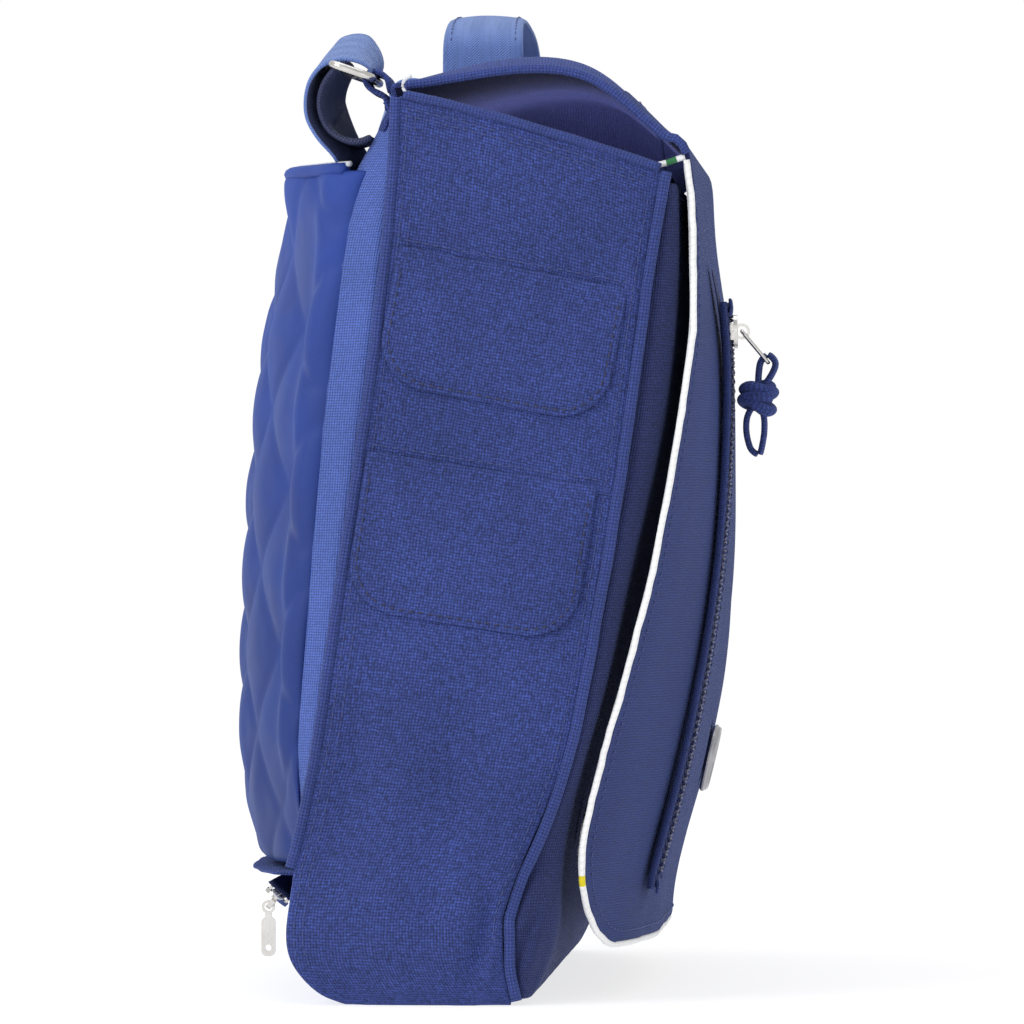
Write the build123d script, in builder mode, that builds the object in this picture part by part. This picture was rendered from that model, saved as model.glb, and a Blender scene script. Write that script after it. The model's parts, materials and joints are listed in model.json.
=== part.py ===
from build123d import *
import math
import os

# A messenger-style diaper bag standing on its base. Millimetres, +Z up.
# X runs across the width, -Y is the flap side, and the origin is on the ground
# below the middle of the main compartment.

# Driving dimensions
BODY_HALF = 190.0  # outer face of each side gusset
GUSSET = 3.0  # gusset thickness
PANEL = 3.0  # body panel thickness
GAP = 0.3  # sewing clearance between neighbours
WALL_HALF = BODY_HALF - GUSSET - GAP  # half width of what lies between the gussets
LINING_HALF = 181.0
LINING_INSET = 4.4
LINING_WALL = 0.8
CORD_R = 1.4
CORD_X = BODY_HALF - CORD_R
FLAP_HALF = 184.0
FLAP_SKIN = 2.0
FLAP_LINING = 1.0
FLAP_CORNER = 40.0
FLAP_BOTTOM = 20.0
PIPING_R = 1.5
FOLD_Y, FOLD_Z = -67.8, 300.0  # fold line between the flap's roof and front
LIFT_Y, LIFT_Z = 33.2, 322.8  # line where the flap is sewn to the back
BEAD_R = 1.5  # rolled edge along each of those lines
QUILT_HALF = 183.0
QUILT = 4.0
QUILT_TOP = 294.0
QUILT_BULGE = 34.0
STRAP_WIDTH = 36.0
STRAP = 2.4
RING_X = 166.0  # middle of each strap ring
ZIP_X = -120.0  # middle of the flap zip
ZIP_TAPE_WIDTH = 18.0
ZIP_CHAIN_WIDTH = 5.5

# Profiles across the bag, as (Y, Z)
GUSSET_BACK = [(32, 320), (36, 259), (45, 190), (55, 124), (64, 68), (69.5, 46)]
GUSSET_HEEL = [(69.5, 46), (70, 28), (60, 8), (38, 0)]
GUSSET_TOE = [(38, 0), (-8, 0), (-5.5, 12), (-5, 30)]
GUSSET_FRONT = [(-5, 30), (-10, 45), (-24, 79), (-36, 134), (-45, 187), (-52, 238), (-61, 293)]
GUSSET_TOP = [(-61, 293), (-24.5, 305), (7, 314), (32, 320)]
BACK_FACE = [(33, 320), (43, 298), (52, 258), (58, 208), (61, 160), (64, 98), (67, 51)]
POCKET_FACE = [(-66, 289), (-65.5, 247), (-58.5, 192), (-49.5, 152), (-40, 110), (-31, 78), (-24.5, 40)]
POCKET_TOE = [(-24.5, 40), (-22, 18), (-14, 1.5)]
FLAP_EDGE = [(-70.5, 296), (-73, 262), (-72, 233), (-66.5, 195), (-57, 146), (-44.5, 102), (-36.5, 71),
             (-30.5, 41), (-29, 20)]
FLAP_CROWN = [0, 2, 9, 16.5, 24, 30, 31, 28.5, 27]  # how far the middle stands out at each point
FLAP_ROOF = [(LIFT_Y, LIFT_Z + 1.5), (14, 329.5), (-35, 330.5), (-52, 317), (FOLD_Y + 2.2, FOLD_Z + 3.6)]
QUILT_EDGE = [(48, 294), (54, 262), (60, 208), (64, 150), (67, 98), (69.3, 62), (71.6, 47)]

# The flap zip follows an arc about an axis far behind the bag
ZIP_TOP = (-79.5, 245.0)
ZIP_FOOT = (-53.0, 41.5)
ZIP_SAGITTA = 8.7


def shifted(points, dy, dz=0.0):
    """The same profile moved by dy and dz."""
    return [(y + dy, z + dz) for y, z in points]


def inset_outline(inset):
    """The body's side outline as five lists of points, each moved inwards by the inset."""
    parts = [GUSSET_BACK, GUSSET_HEEL, GUSSET_TOE, GUSSET_FRONT, GUSSET_TOP]
    ring = [point for part in parts for point in part[:-1]]
    moved = []
    for before, point, after in zip(ring[-1:] + ring[:-1], ring, ring[1:] + ring[:1]):
        arriving = (Vector(*point) - Vector(*before)).normalized()
        leaving = (Vector(*after) - Vector(*point)).normalized()
        inward = Vector(arriving.Y + leaving.Y, -arriving.X - leaving.X).normalized()
        mitre = inset / max(inward.dot(Vector(arriving.Y, -arriving.X)), 0.5)
        moved.append((point[0] + inward.X * mitre, point[1] + inward.Y * mitre))
    outline, start = [], 0
    for part in parts:
        stop = start + len(part)
        outline.append((moved + moved[:1])[start:stop])
        start = stop - 1
    return outline


def gusset_outline(inset=0.0):
    """Draws the body's side outline in the active line."""
    back, heel, toe, front, top = inset_outline(inset)
    Spline(back)
    Spline(heel, tangents=[(0, -1), (-1, 0)])
    Polyline(toe)
    Spline(front)
    Spline(top)


def ribbon(points, thickness, dy=0.0):
    """A strip of even depth in Y that follows a profile, drawn in the active line."""
    near = shifted(points, dy)
    far = shifted(points, dy + thickness)
    Spline(near)
    Line(near[-1], far[-1])
    Spline(far[::-1])
    Line(far[0], near[0])


def crowned(points, crown, share):
    """A profile pushed out by a share of its crown."""
    return [(y + c * share, z) for (y, z), c in zip(points, crown)]


def share_at(x, half, power):
    """How much of the crown is reached at x: all in the middle, none at the edge."""
    return 1 - abs(x / half) ** power


def body_face(x, inset=0.0, ring=None, depths=None, heights=None):
    """The body's side outline as a face at x: inset, hollowed to a ring, and cut to a region."""
    with BuildSketch(Plane.YZ.offset(x)) as face:
        with BuildLine():
            gusset_outline(inset)
        make_face()
        if ring:
            with BuildLine():
                gusset_outline(inset + ring)
            make_face(mode=Mode.SUBTRACT)
        if depths:
            with Locations((sum(depths) / 2, sum(heights) / 2)):
                Rectangle(depths[1] - depths[0], heights[1] - heights[0], mode=Mode.INTERSECT)
    return face.sketch


# Where the lofted panels' sections stand across the bag
FLAP_STATIONS = [-184, -160, -120, -60, 0, 60, 120, 160, 184]
QUILT_STATIONS = [-183, -165, -130, -70, 0, 70, 130, 165, 183]


def finish(builder, name):
    """Labels a finished piece and writes its file."""
    builder.part.label = name
    os.makedirs("parts", exist_ok=True)
    export_step(builder.part, f"parts/{name}.step")


# ---------------------------------------------------------------- side gussets
SLOT_WIDTH, SLOT_HEIGHT = 64.0, 5.0
POCKETS = {  # name: middle of the flap's top line (Y, Z), slope in degrees, width, height
    "upper": ((-8.5, 258.0), 10.9, 82.0, 48.0),
    "lower": ((2.5, 187.5), 8.9, 82.0, 55.0),
}


def pocket_plane(name, x):
    """Plane on the near gusset with its local Y up and its origin on the flap's top line."""
    (y, z), slope, _, _ = POCKETS[name]
    along = (0, -math.cos(math.radians(slope)), -math.sin(math.radians(slope)))
    return Plane(origin=(x, y, z), x_dir=along, z_dir=(-1, 0, 0))


with BuildPart() as side_gusset_left:
    with BuildSketch(Plane.YZ.offset(-BODY_HALF)):
        with BuildLine():
            gusset_outline()
        make_face()
    extrude(amount=GUSSET)
    for pocket in POCKETS:
        with BuildSketch(pocket_plane(pocket, -BODY_HALF - 1)):
            with Locations((0, -12)):
                SlotOverall(SLOT_WIDTH, SLOT_HEIGHT)
        extrude(amount=-(GUSSET + 2), mode=Mode.SUBTRACT)
finish(side_gusset_left, "side_gusset_left")

with BuildPart() as side_gusset_right:
    mirror(side_gusset_left.part, about=Plane.YZ)
finish(side_gusset_right, "side_gusset_right")

# Pouch behind each pocket slot: a flat bag, open where the slot is
POUCH_DEPTH, POUCH_WALL = 4.4, 1.0
with BuildPart() as side_pouches_left:
    for pocket in POCKETS:
        pouch_plane = pocket_plane(pocket, -BODY_HALF + GUSSET + GAP)
        with BuildSketch(pouch_plane):
            with Locations((0, -34)):
                RectangleRounded(74, 58, 8)
        extrude(amount=-POUCH_DEPTH)
        with BuildSketch(pouch_plane.offset(-POUCH_WALL)):
            with Locations((0, -34)):
                RectangleRounded(72, 56, 7)
        extrude(amount=-(POUCH_DEPTH - 2 * POUCH_WALL), mode=Mode.SUBTRACT)
        with BuildSketch(pouch_plane):
            with Locations((0, -12)):
                SlotOverall(SLOT_WIDTH, SLOT_HEIGHT)
        extrude(amount=-POUCH_WALL, mode=Mode.SUBTRACT)
finish(side_pouches_left, "side_pouches_left")

with BuildPart() as side_pouches_right:
    mirror(side_pouches_left.part, about=Plane.YZ)
finish(side_pouches_right, "side_pouches_right")

# Pocket flaps: hinged at a round top edge that stands just off the gusset
FLAPLET, FLAPLET_GAP, FLAPLET_CORNER = 2.0, 0.4, 18.0
for pocket, (_, _, flaplet_width, flaplet_height) in POCKETS.items():
    hinge_plane = pocket_plane(pocket, -BODY_HALF - FLAPLET_GAP)
    with BuildPart() as flaplet_left:
        with BuildSketch(hinge_plane):
            with Locations((0, -flaplet_height / 2)):
                Rectangle(flaplet_width, flaplet_height)
            fillet(vertices().group_by(Axis.Y)[0], FLAPLET_CORNER)
        extrude(amount=FLAPLET)
        with BuildSketch(Plane(hinge_plane.origin, x_dir=hinge_plane.y_dir, z_dir=hinge_plane.x_dir)):
            with Locations((0, FLAPLET / 2)):
                Circle(FLAPLET / 2)
        extrude(amount=flaplet_width / 2, both=True)
    finish(flaplet_left, f"pocket_flap_{pocket}_left")
    with BuildPart() as flaplet_right:
        mirror(flaplet_left.part, about=Plane.YZ)
    finish(flaplet_right, f"pocket_flap_{pocket}_right")

# ---------------------------------------------------------------- seam cords
with BuildPart() as back_seam_cords:
    with BuildLine(Plane.YZ.offset(-CORD_X)) as back_cord_path:
        Spline(shifted(GUSSET_BACK, CORD_R + 0.6)[1:])
    with BuildSketch(back_cord_path.line ^ 0):
        Circle(CORD_R)
    sweep(path=back_cord_path.line)
    mirror(about=Plane.YZ)
finish(back_seam_cords, "back_seam_cords")

with BuildPart() as front_seam_cords:
    with BuildLine(Plane.YZ.offset(-CORD_X)) as front_cord_path:
        Spline(shifted(GUSSET_FRONT, -CORD_R - 0.6)[1:])
    with BuildSketch(front_cord_path.line ^ 0):
        Circle(CORD_R)
    sweep(path=front_cord_path.line)
    mirror(about=Plane.YZ)
finish(front_seam_cords, "front_seam_cords")


# ---------------------------------------------------------------- body panels between the gussets
BASE_TOP = 9.0  # the base's turned-up edge
HEEL_TOP = 50.7
FRONT_TOP = 290.0
with BuildPart() as base_panel:
    extrude(body_face(0, 0, PANEL, (-20, 90), (-5, BASE_TOP)), amount=WALL_HALF, both=True)
finish(base_panel, "base_panel")

with BuildPart() as front_panel:
    extrude(body_face(0, 0, PANEL, (-90, 2), (BASE_TOP + GAP, FRONT_TOP)), amount=WALL_HALF, both=True)
finish(front_panel, "front_panel")

with BuildPart() as heel_panel:
    extrude(body_face(0, 0, PANEL, (45, 90), (BASE_TOP + GAP, HEEL_TOP)), amount=WALL_HALF, both=True)
finish(heel_panel, "heel_panel")

# The back panel's outer face stands out beyond the gusset seam, and its ends slope back to it
SEAM_FACE = GUSSET_BACK[:-1] + [(68, 51)]
with BuildPart() as back_panel:
    for x, face in ((-WALL_HALF, SEAM_FACE), (3 - QUILT_HALF, BACK_FACE),
                    (QUILT_HALF - 3, BACK_FACE), (WALL_HALF, SEAM_FACE)):
        with BuildSketch(Plane.YZ.offset(x)):
            with BuildLine():
                ribbon(face, PANEL, -PANEL)
            make_face()
    loft(ruled=True)
finish(back_panel, "back_panel")

# ---------------------------------------------------------------- inside
with BuildPart() as lining:
    extrude(body_face(-LINING_HALF, LINING_INSET), amount=2 * LINING_HALF)
    extrude(body_face(LINING_WALL - LINING_HALF, LINING_INSET + LINING_WALL),
            amount=2 * (LINING_HALF - LINING_WALL), mode=Mode.SUBTRACT)
    with BuildSketch(Plane.YZ.offset(-BODY_HALF)):
        with BuildLine():
            Polyline((-90, 276), (-50, 286), (29, 308), (60, 330), (-90, 330), (-90, 276))
        make_face()
    extrude(amount=2 * BODY_HALF, mode=Mode.SUBTRACT)
finish(lining, "lining")

BOARD, BOARD_LENGTH, BOARD_DEPTH, BOARD_Z = 2.0, 340.0, 34.0, 6.4
with BuildPart() as base_board:
    with BuildSketch(Plane.XY.offset(BOARD_Z)):
        with Locations((0, 20)):
            RectangleRounded(BOARD_LENGTH, BOARD_DEPTH, 6)
    extrude(amount=BOARD)
finish(base_board, "base_board")

INNER_POCKET_LINE = [(24, 250), (32, 205), (43, 135)]
INNER_POCKET_HALF = 130.0
with BuildPart() as inner_pocket:
    with BuildSketch(Plane.YZ):
        with BuildLine():
            ribbon(INNER_POCKET_LINE, 1.2)
        make_face()
    extrude(amount=INNER_POCKET_HALF, both=True)
finish(inner_pocket, "inner_pocket")

with BuildPart() as inner_pocket_elastic:
    with BuildSketch(Plane.YZ):
        with Locations((24.6, 253.2)):
            RectangleRounded(2.6, 5.6, 1.2)
    extrude(amount=INNER_POCKET_HALF, both=True)
finish(inner_pocket_elastic, "inner_pocket_elastic")

# Binding round the mouth: one strip on each gusset's top edge and one on the front panel's
MOUTH_BINDING, BINDING_LIFT = 1.6, 0.4
with BuildPart() as mouth_binding:
    with BuildSketch(Plane.YZ.offset(-BODY_HALF)):
        with BuildLine():
            raised = shifted(GUSSET_TOP, 0, MOUTH_BINDING + BINDING_LIFT)
            sunk = shifted(GUSSET_TOP, 0, BINDING_LIFT)
            Spline(raised[1:-1])
            Line(raised[-2], sunk[-2])
            Spline(sunk[1:-1][::-1])
            Line(sunk[1], raised[1])
        make_face()
    extrude(amount=GUSSET)
    mirror(about=Plane.YZ)
    with BuildSketch(Plane.YZ):
        with Locations((-58.8, 294)):
            Rectangle(3.2, 3.2)
    extrude(amount=LINING_HALF, both=True)
finish(mouth_binding, "mouth_binding")

# ---------------------------------------------------------------- front pocket
POCKET_WALL = 2.0
pocket_seam = shifted(GUSSET_FRONT, -0.5)
with BuildPart() as front_pocket:
    with BuildSketch(Plane.YZ):
        with BuildLine():
            Spline(POCKET_FACE)
            Spline(POCKET_TOE)
            Line(POCKET_TOE[-1], (-8.8, 1.5))
            Line((-8.8, 1.5), pocket_seam[0])
            Spline(pocket_seam[:-1])
            Polyline(pocket_seam[-2], (-61.2, 289), POCKET_FACE[0])
        make_face()
    extrude(amount=WALL_HALF, both=True)
    with BuildSketch(Plane.YZ):
        with BuildLine():
            cavity = shifted(POCKET_FACE, POCKET_WALL)
            toe = shifted(POCKET_TOE, POCKET_WALL, POCKET_WALL)
            Spline(cavity[:-1] + [toe[0]])
            Spline(toe)
            Polyline(toe[-1], (30, toe[-1][1]), (30, 320), (cavity[0][0], 320), cavity[0])
        make_face()
    extrude(amount=WALL_HALF - POCKET_WALL, both=True, mode=Mode.SUBTRACT)
finish(front_pocket, "front_pocket")

# ---------------------------------------------------------------- rear pocket
QUILT_CROWN = [QUILT_BULGE * s for s in (0.92, 0.97, 1.0, 1.0, 0.95, 0.85, 0.62)]
with BuildPart() as quilted_panel:
    for x in QUILT_STATIONS:
        profile = crowned(QUILT_EDGE, QUILT_CROWN, share_at(x, QUILT_HALF, 4))
        with BuildSketch(Plane.YZ.offset(x)):
            with BuildLine():
                ribbon(profile, QUILT, -QUILT / 2)
            make_face()
    loft()
finish(quilted_panel, "quilted_panel")


def quilt_rim(dy):
    """Plan curve of the quilted panel's top edge, dy from its inner face."""
    y, _ = QUILT_EDGE[0]
    return [(x, y - QUILT / 2 + dy + QUILT_CROWN[0] * share_at(x, QUILT_HALF, 4)) for x in QUILT_STATIONS]


with BuildPart() as rear_pocket_binding:
    with BuildSketch(Plane.XY.offset(QUILT_TOP + GAP)):
        with BuildLine():
            Spline(quilt_rim(-0.2))
            Line(quilt_rim(-0.2)[-1], quilt_rim(QUILT + 0.6)[-1])
            Spline(quilt_rim(QUILT + 0.6)[::-1])
            Line(quilt_rim(QUILT + 0.6)[0], quilt_rim(-0.2)[0])
        make_face()
    extrude(amount=3.0)
finish(rear_pocket_binding, "rear_pocket_binding")

REAR_ZIP_Y, REAR_ZIP_Z, REAR_ZIP_TILT = 74.9, 39.2, 50.0
with BuildPart() as rear_pocket_foot:
    foot_edge = [(x, 76 + 16 * share_at(x, QUILT_HALF, 4)) for x in QUILT_STATIONS]
    with BuildSketch(Plane.XY.offset(43.6)):
        with BuildLine():
            Spline(foot_edge)
            Polyline(foot_edge[-1], (QUILT_HALF, 74.5), (-QUILT_HALF, 74.5), foot_edge[0])
        make_face()
    extrude(amount=2.0)
finish(rear_pocket_foot, "rear_pocket_foot")

# Rear zip: it lies along the pocket's foot, facing down and back
REAR_ZIP_HALF = 176.0
ZIP_TAPE, ZIP_CHAIN = 0.8, 1.3
CHAIN_LIFT = 0.2  # chain above tape
rear_zip_normal = (0, math.cos(math.radians(REAR_ZIP_TILT)), -math.sin(math.radians(REAR_ZIP_TILT)))
rear_zip_plane = Plane(origin=(0, REAR_ZIP_Y, REAR_ZIP_Z), x_dir=(1, 0, 0), z_dir=rear_zip_normal)
with BuildPart() as rear_zip_tape:
    with BuildSketch(rear_zip_plane):
        Rectangle(2 * REAR_ZIP_HALF, 9.6)
    extrude(amount=ZIP_TAPE)
finish(rear_zip_tape, "rear_zip_tape")

with BuildPart() as rear_zip_chain:
    with BuildSketch(rear_zip_plane.offset(ZIP_TAPE + CHAIN_LIFT)):
        Rectangle(2 * REAR_ZIP_HALF - 8, ZIP_CHAIN_WIDTH)
    extrude(amount=ZIP_CHAIN)
finish(rear_zip_chain, "rear_zip_chain")

EYE_HEIGHT, EYE_R, EYE_HOLE_R, EYE_HALF = 4.6, 2.9, 1.9, 0.9
PLATE_LOW, PLATE_HIGH = 1.7, 3.0  # the slider's plate above the chain's underside


def slider_body(plane, length, width):
    """A zip slider on the plane of the chain's underside: plate, cheeks and an eye for the pull."""
    with BuildSketch(plane.offset(PLATE_LOW)) as plate:
        SlotOverall(length, width)
    extrude(plate.sketch, amount=PLATE_HIGH - PLATE_LOW)
    with BuildSketch(plane.offset(0.4)) as cheeks:
        with Locations((0, ZIP_CHAIN_WIDTH / 2 + 0.9), (0, -ZIP_CHAIN_WIDTH / 2 - 0.9)):
            Rectangle(length * 0.5, 1.0)
    extrude(cheeks.sketch, amount=PLATE_LOW)
    with BuildSketch(Plane(plane.origin, x_dir=plane.x_dir, z_dir=-plane.y_dir)) as eye:
        with Locations((0, EYE_HEIGHT)):
            Circle(EYE_R)
            Circle(EYE_HOLE_R, mode=Mode.SUBTRACT)
        with Locations((0, PLATE_HIGH - 1.5)):
            Rectangle(2 * EYE_R, 2.0, mode=Mode.SUBTRACT)
    extrude(eye.sketch, amount=EYE_HALF, both=True)


REAR_SLIDER_X = -160.0
SLIDER_LENGTH, SLIDER_WIDTH = 12.0, 9.4
rear_slider_plane = rear_zip_plane.offset(ZIP_TAPE + CHAIN_LIFT)
rear_slider_plane.origin += Vector(REAR_SLIDER_X, 0, 0)
with BuildPart() as rear_zip_slider:
    slider_body(rear_slider_plane, SLIDER_LENGTH, SLIDER_WIDTH)
finish(rear_zip_slider, "rear_zip_slider")

# The rear pull is a flat tab that hangs from the outer side of the slider's eye
PULL_RING_R, PULL_RING_HOLE_R = 2.4, 1.5
rear_pull_axis = rear_slider_plane.origin + rear_slider_plane.z_dir * (EYE_HEIGHT + (EYE_R + EYE_HOLE_R) / 2)
with BuildPart() as rear_zip_pull:
    with BuildSketch(Plane.YZ.offset(REAR_SLIDER_X)):
        with Locations((rear_pull_axis.Y, rear_pull_axis.Z)):
            with Locations((0, -10.5)):
                RectangleRounded(5.0, 14.0, 2.0)
            with Locations((0, -14.5)):
                Circle(1.1, mode=Mode.SUBTRACT)
            Circle(PULL_RING_R)
            Circle(PULL_RING_HOLE_R, mode=Mode.SUBTRACT)
            with Locations((0, -3.2)):
                Rectangle(2.4, 3.0)
            Circle(PULL_RING_HOLE_R, mode=Mode.SUBTRACT)
    extrude(amount=0.5, both=True)
finish(rear_zip_pull, "rear_zip_pull")

# ---------------------------------------------------------------- flap roof
ROOF_THICKNESS = 3.0


def roof_line(lift, thickness):
    """The flap roof's profile as a strip, lifted by an amount, drawn in the active line."""
    upper = shifted(FLAP_ROOF, 0, lift)
    lower = shifted(FLAP_ROOF, 0, lift - thickness)
    Spline(upper)
    Line(upper[-1], lower[-1])
    Spline(lower[::-1])
    Line(lower[0], upper[0])


with BuildPart() as flap_roof:
    with BuildSketch(Plane.YZ):
        with BuildLine():
            roof_line(0, ROOF_THICKNESS)
        make_face()
        with Locations((LIFT_Y, LIFT_Z)):
            Circle(BEAD_R)
    extrude(amount=FLAP_HALF, both=True)
finish(flap_roof, "flap_roof")

PIPING_X = FLAP_HALF + GAP + PIPING_R
with BuildPart() as flap_roof_piping:
    with BuildLine(Plane.YZ.offset(-PIPING_X)) as roof_piping_path:
        Spline(shifted(FLAP_ROOF, 0, -ROOF_THICKNESS / 2))
    with BuildSketch(roof_piping_path.line ^ 0):
        Circle(PIPING_R)
    sweep(path=roof_piping_path.line)
    mirror(about=Plane.YZ)
finish(flap_roof_piping, "flap_roof_piping")

# Grab handle: an arch of webbing above two patches sewn to the roof
HANDLE_HALF_WIDTH, HANDLE_FOOT_X, HANDLE_FOOT_Z, HANDLE_CREST_Z = 15.0, 70.0, 336.5, 359.0
HANDLE, HANDLE_BEAD_R = 3.0, 1.2
HANDLE_Y = 9.0  # a little behind the middle of the roof
with BuildPart() as handle_patches:
    for side in (-1, 1):
        with BuildSketch(Plane.YZ.offset(side * HANDLE_FOOT_X)):
            with BuildLine():
                roof_line(1.5, 1.2)
            make_face()
            with Locations((HANDLE_Y, 331)):
                Rectangle(27, 30, mode=Mode.INTERSECT)
        extrude(amount=10, both=True)
finish(handle_patches, "handle_patches")


def arch(inset):
    """The handle's arch as (X, Z) points, inset from its outer face."""
    foot = HANDLE_FOOT_X - inset
    left = [(-foot, HANDLE_FOOT_Z), (-foot + 4, HANDLE_FOOT_Z + 11 - inset / 2),
            (-foot + 28, HANDLE_CREST_Z - 2.5 - inset)]
    return left + [(0, HANDLE_CREST_Z - inset)] + [(-x, z) for x, z in left[::-1]]


with BuildPart() as grab_handle:
    with BuildSketch(Plane.XZ.offset(-HANDLE_HALF_WIDTH - HANDLE_Y)):
        with BuildLine():
            Spline(arch(0))
            Line(arch(0)[-1], arch(HANDLE)[-1])
            Spline(arch(HANDLE)[::-1])
            Line(arch(HANDLE)[0], arch(0)[0])
        make_face()
    extrude(amount=2 * HANDLE_HALF_WIDTH)
    with BuildSketch(Plane.YZ.offset(-BODY_HALF)):
        with BuildLine():
            back_y, front_y = HANDLE_Y + HANDLE_HALF_WIDTH, HANDLE_Y - HANDLE_HALF_WIDTH
            Polyline((HANDLE_Y - 2, HANDLE_FOOT_Z), (HANDLE_Y + 2, HANDLE_FOOT_Z),
                     (back_y, HANDLE_FOOT_Z + 12), (back_y, 380), (front_y, 380),
                     (front_y, HANDLE_FOOT_Z + 12), (HANDLE_Y - 2, HANDLE_FOOT_Z))
        make_face()
    extrude(amount=2 * BODY_HALF, mode=Mode.INTERSECT)
    for x in (-HANDLE_FOOT_X, HANDLE_FOOT_X - HANDLE):  # each foot ends in a bead on the tilt axis
        with BuildSketch(Plane.YZ.offset(x)):
            with Locations((HANDLE_Y, HANDLE_FOOT_Z)):
                Circle(HANDLE_BEAD_R)
        extrude(amount=HANDLE)
finish(grab_handle, "grab_handle")


# ---------------------------------------------------------------- flap front
def flap_profile(x):
    """The flap front's outer face at x."""
    return crowned(FLAP_EDGE, FLAP_CROWN, -share_at(x, FLAP_HALF, 3.6))


def between(points, z):
    """Depth of a profile at a height, straight between its points."""
    for (y1, z1), (y2, z2) in zip(points, points[1:]):
        if z2 <= z <= z1:
            return y1 + (y2 - y1) * (z1 - z) / (z1 - z2)
    return points[-1][0]


def trim_solid(inset):
    """Block with the flap front's outline, rounded at its bottom corners."""
    height = FOLD_Z - FLAP_BOTTOM - inset
    with BuildPart() as block:
        with BuildSketch(Plane.XZ.offset(-50)):
            with Locations((0, FLAP_BOTTOM + inset + height / 2)):
                Rectangle(2 * (FLAP_HALF - inset), height)
            fillet(vertices().group_by(Axis.Y)[0], FLAP_CORNER - inset)
        extrude(amount=200)
    return block.part


flap_outline = trim_solid(0)
with BuildPart() as flap_front:
    for x in FLAP_STATIONS:
        with BuildSketch(Plane.YZ.offset(x)):
            with BuildLine():
                ribbon(flap_profile(x), FLAP_SKIN)
            make_face()
    loft()
    add(flap_outline, mode=Mode.INTERSECT)
    with BuildSketch(Plane.YZ.offset(1 - FLAP_HALF)):
        with BuildLine():
            top_y, top_z = FLAP_EDGE[0]
            Polyline((top_y, top_z - 0.2), (top_y + FLAP_SKIN, top_z - 0.2), (FOLD_Y + 1.2, FOLD_Z - 0.8),
                     (FOLD_Y - 1.2, FOLD_Z + 0.8), (top_y, top_z - 0.2))
        make_face()
        with Locations((FOLD_Y, FOLD_Z)):
            Circle(BEAD_R)
    extrude(amount=2 * FLAP_HALF - 2)
finish(flap_front, "flap_front")

with BuildPart() as flap_lining:
    for x in FLAP_STATIONS:
        with BuildSketch(Plane.YZ.offset(x)):
            with BuildLine():
                ribbon(flap_profile(x), FLAP_LINING, FLAP_SKIN + GAP)
            make_face()
    loft()
    add(flap_outline, mode=Mode.INTERSECT)
finish(flap_lining, "flap_lining")

# Piping: down the near side, round the corner, along the bottom and up the far side
PIPING_DEPTH = 1.6
corner_x = FLAP_HALF - FLAP_CORNER
corner_z = FLAP_BOTTOM + FLAP_CORNER
reach = FLAP_CORNER + GAP + PIPING_R
half_path = [(PIPING_X, z) for z in range(294, int(corner_z), -26)]
half_path += [(corner_x + reach * math.cos(math.radians(a)), corner_z - reach * math.sin(math.radians(a)))
              for a in range(0, 91, 15)]
half_path += [(x, corner_z - reach) for x in (100, 50, 0)]
piping_plan = [(-x, z) for x, z in half_path] + half_path[-2::-1]
piping_points = [(x, between(flap_profile(max(-FLAP_HALF, min(FLAP_HALF, x))), z) + PIPING_DEPTH, z)
                 for x, z in piping_plan]
with BuildPart() as flap_front_piping:
    with BuildLine() as front_piping_path:
        Spline(piping_points)
    with BuildSketch(front_piping_path.line ^ 0):
        Circle(PIPING_R)
    sweep(path=front_piping_path.line)
finish(flap_front_piping, "flap_front_piping")

# Flap zip: tape on the flap, chain and slider on an arc about an axis across the bag
chord = Vector(0, ZIP_FOOT[0] - ZIP_TOP[0], ZIP_FOOT[1] - ZIP_TOP[1])
ZIP_R = chord.length**2 / (8 * ZIP_SAGITTA) + ZIP_SAGITTA / 2
outward = Vector(0, chord.Z, -chord.Y).normalized()
chord_middle = Vector(0, (ZIP_TOP[0] + ZIP_FOOT[0]) / 2, (ZIP_TOP[1] + ZIP_FOOT[1]) / 2)
zip_centre = chord_middle - outward * (ZIP_R - ZIP_SAGITTA)
ZIP_START = math.degrees(math.atan2(ZIP_TOP[1] - zip_centre.Z, ZIP_TOP[0] - zip_centre.Y))
ZIP_SWEEP = 2 * math.degrees(math.asin(chord.length / 2 / ZIP_R))
CHAIN_BASE = 2.5  # chain's underside above the zip's arc

with BuildPart() as flap_zip_tape:
    for x in (ZIP_X - ZIP_TAPE_WIDTH / 2, ZIP_X, ZIP_X + ZIP_TAPE_WIDTH / 2):
        with BuildSketch(Plane.YZ.offset(x)):
            with BuildLine():
                ribbon(flap_profile(x)[1:-1], ZIP_TAPE, -ZIP_TAPE - 2 * GAP)
            make_face()
    loft()
finish(flap_zip_tape, "flap_zip_tape")

with BuildPart() as flap_zip_chain:
    with BuildSketch(Plane.YZ.offset(ZIP_X - ZIP_CHAIN_WIDTH / 2)):
        with BuildLine():
            centre = (zip_centre.Y, zip_centre.Z)
            inner = CenterArc(centre, ZIP_R + CHAIN_BASE, ZIP_START, ZIP_SWEEP)
            outer = CenterArc(centre, ZIP_R + CHAIN_BASE + ZIP_CHAIN, ZIP_START, ZIP_SWEEP)
            Line(inner @ 0, outer @ 0)
            Line(inner @ 1, outer @ 1)
        make_face()
    extrude(amount=ZIP_CHAIN_WIDTH)
finish(flap_zip_chain, "flap_zip_chain")

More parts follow.
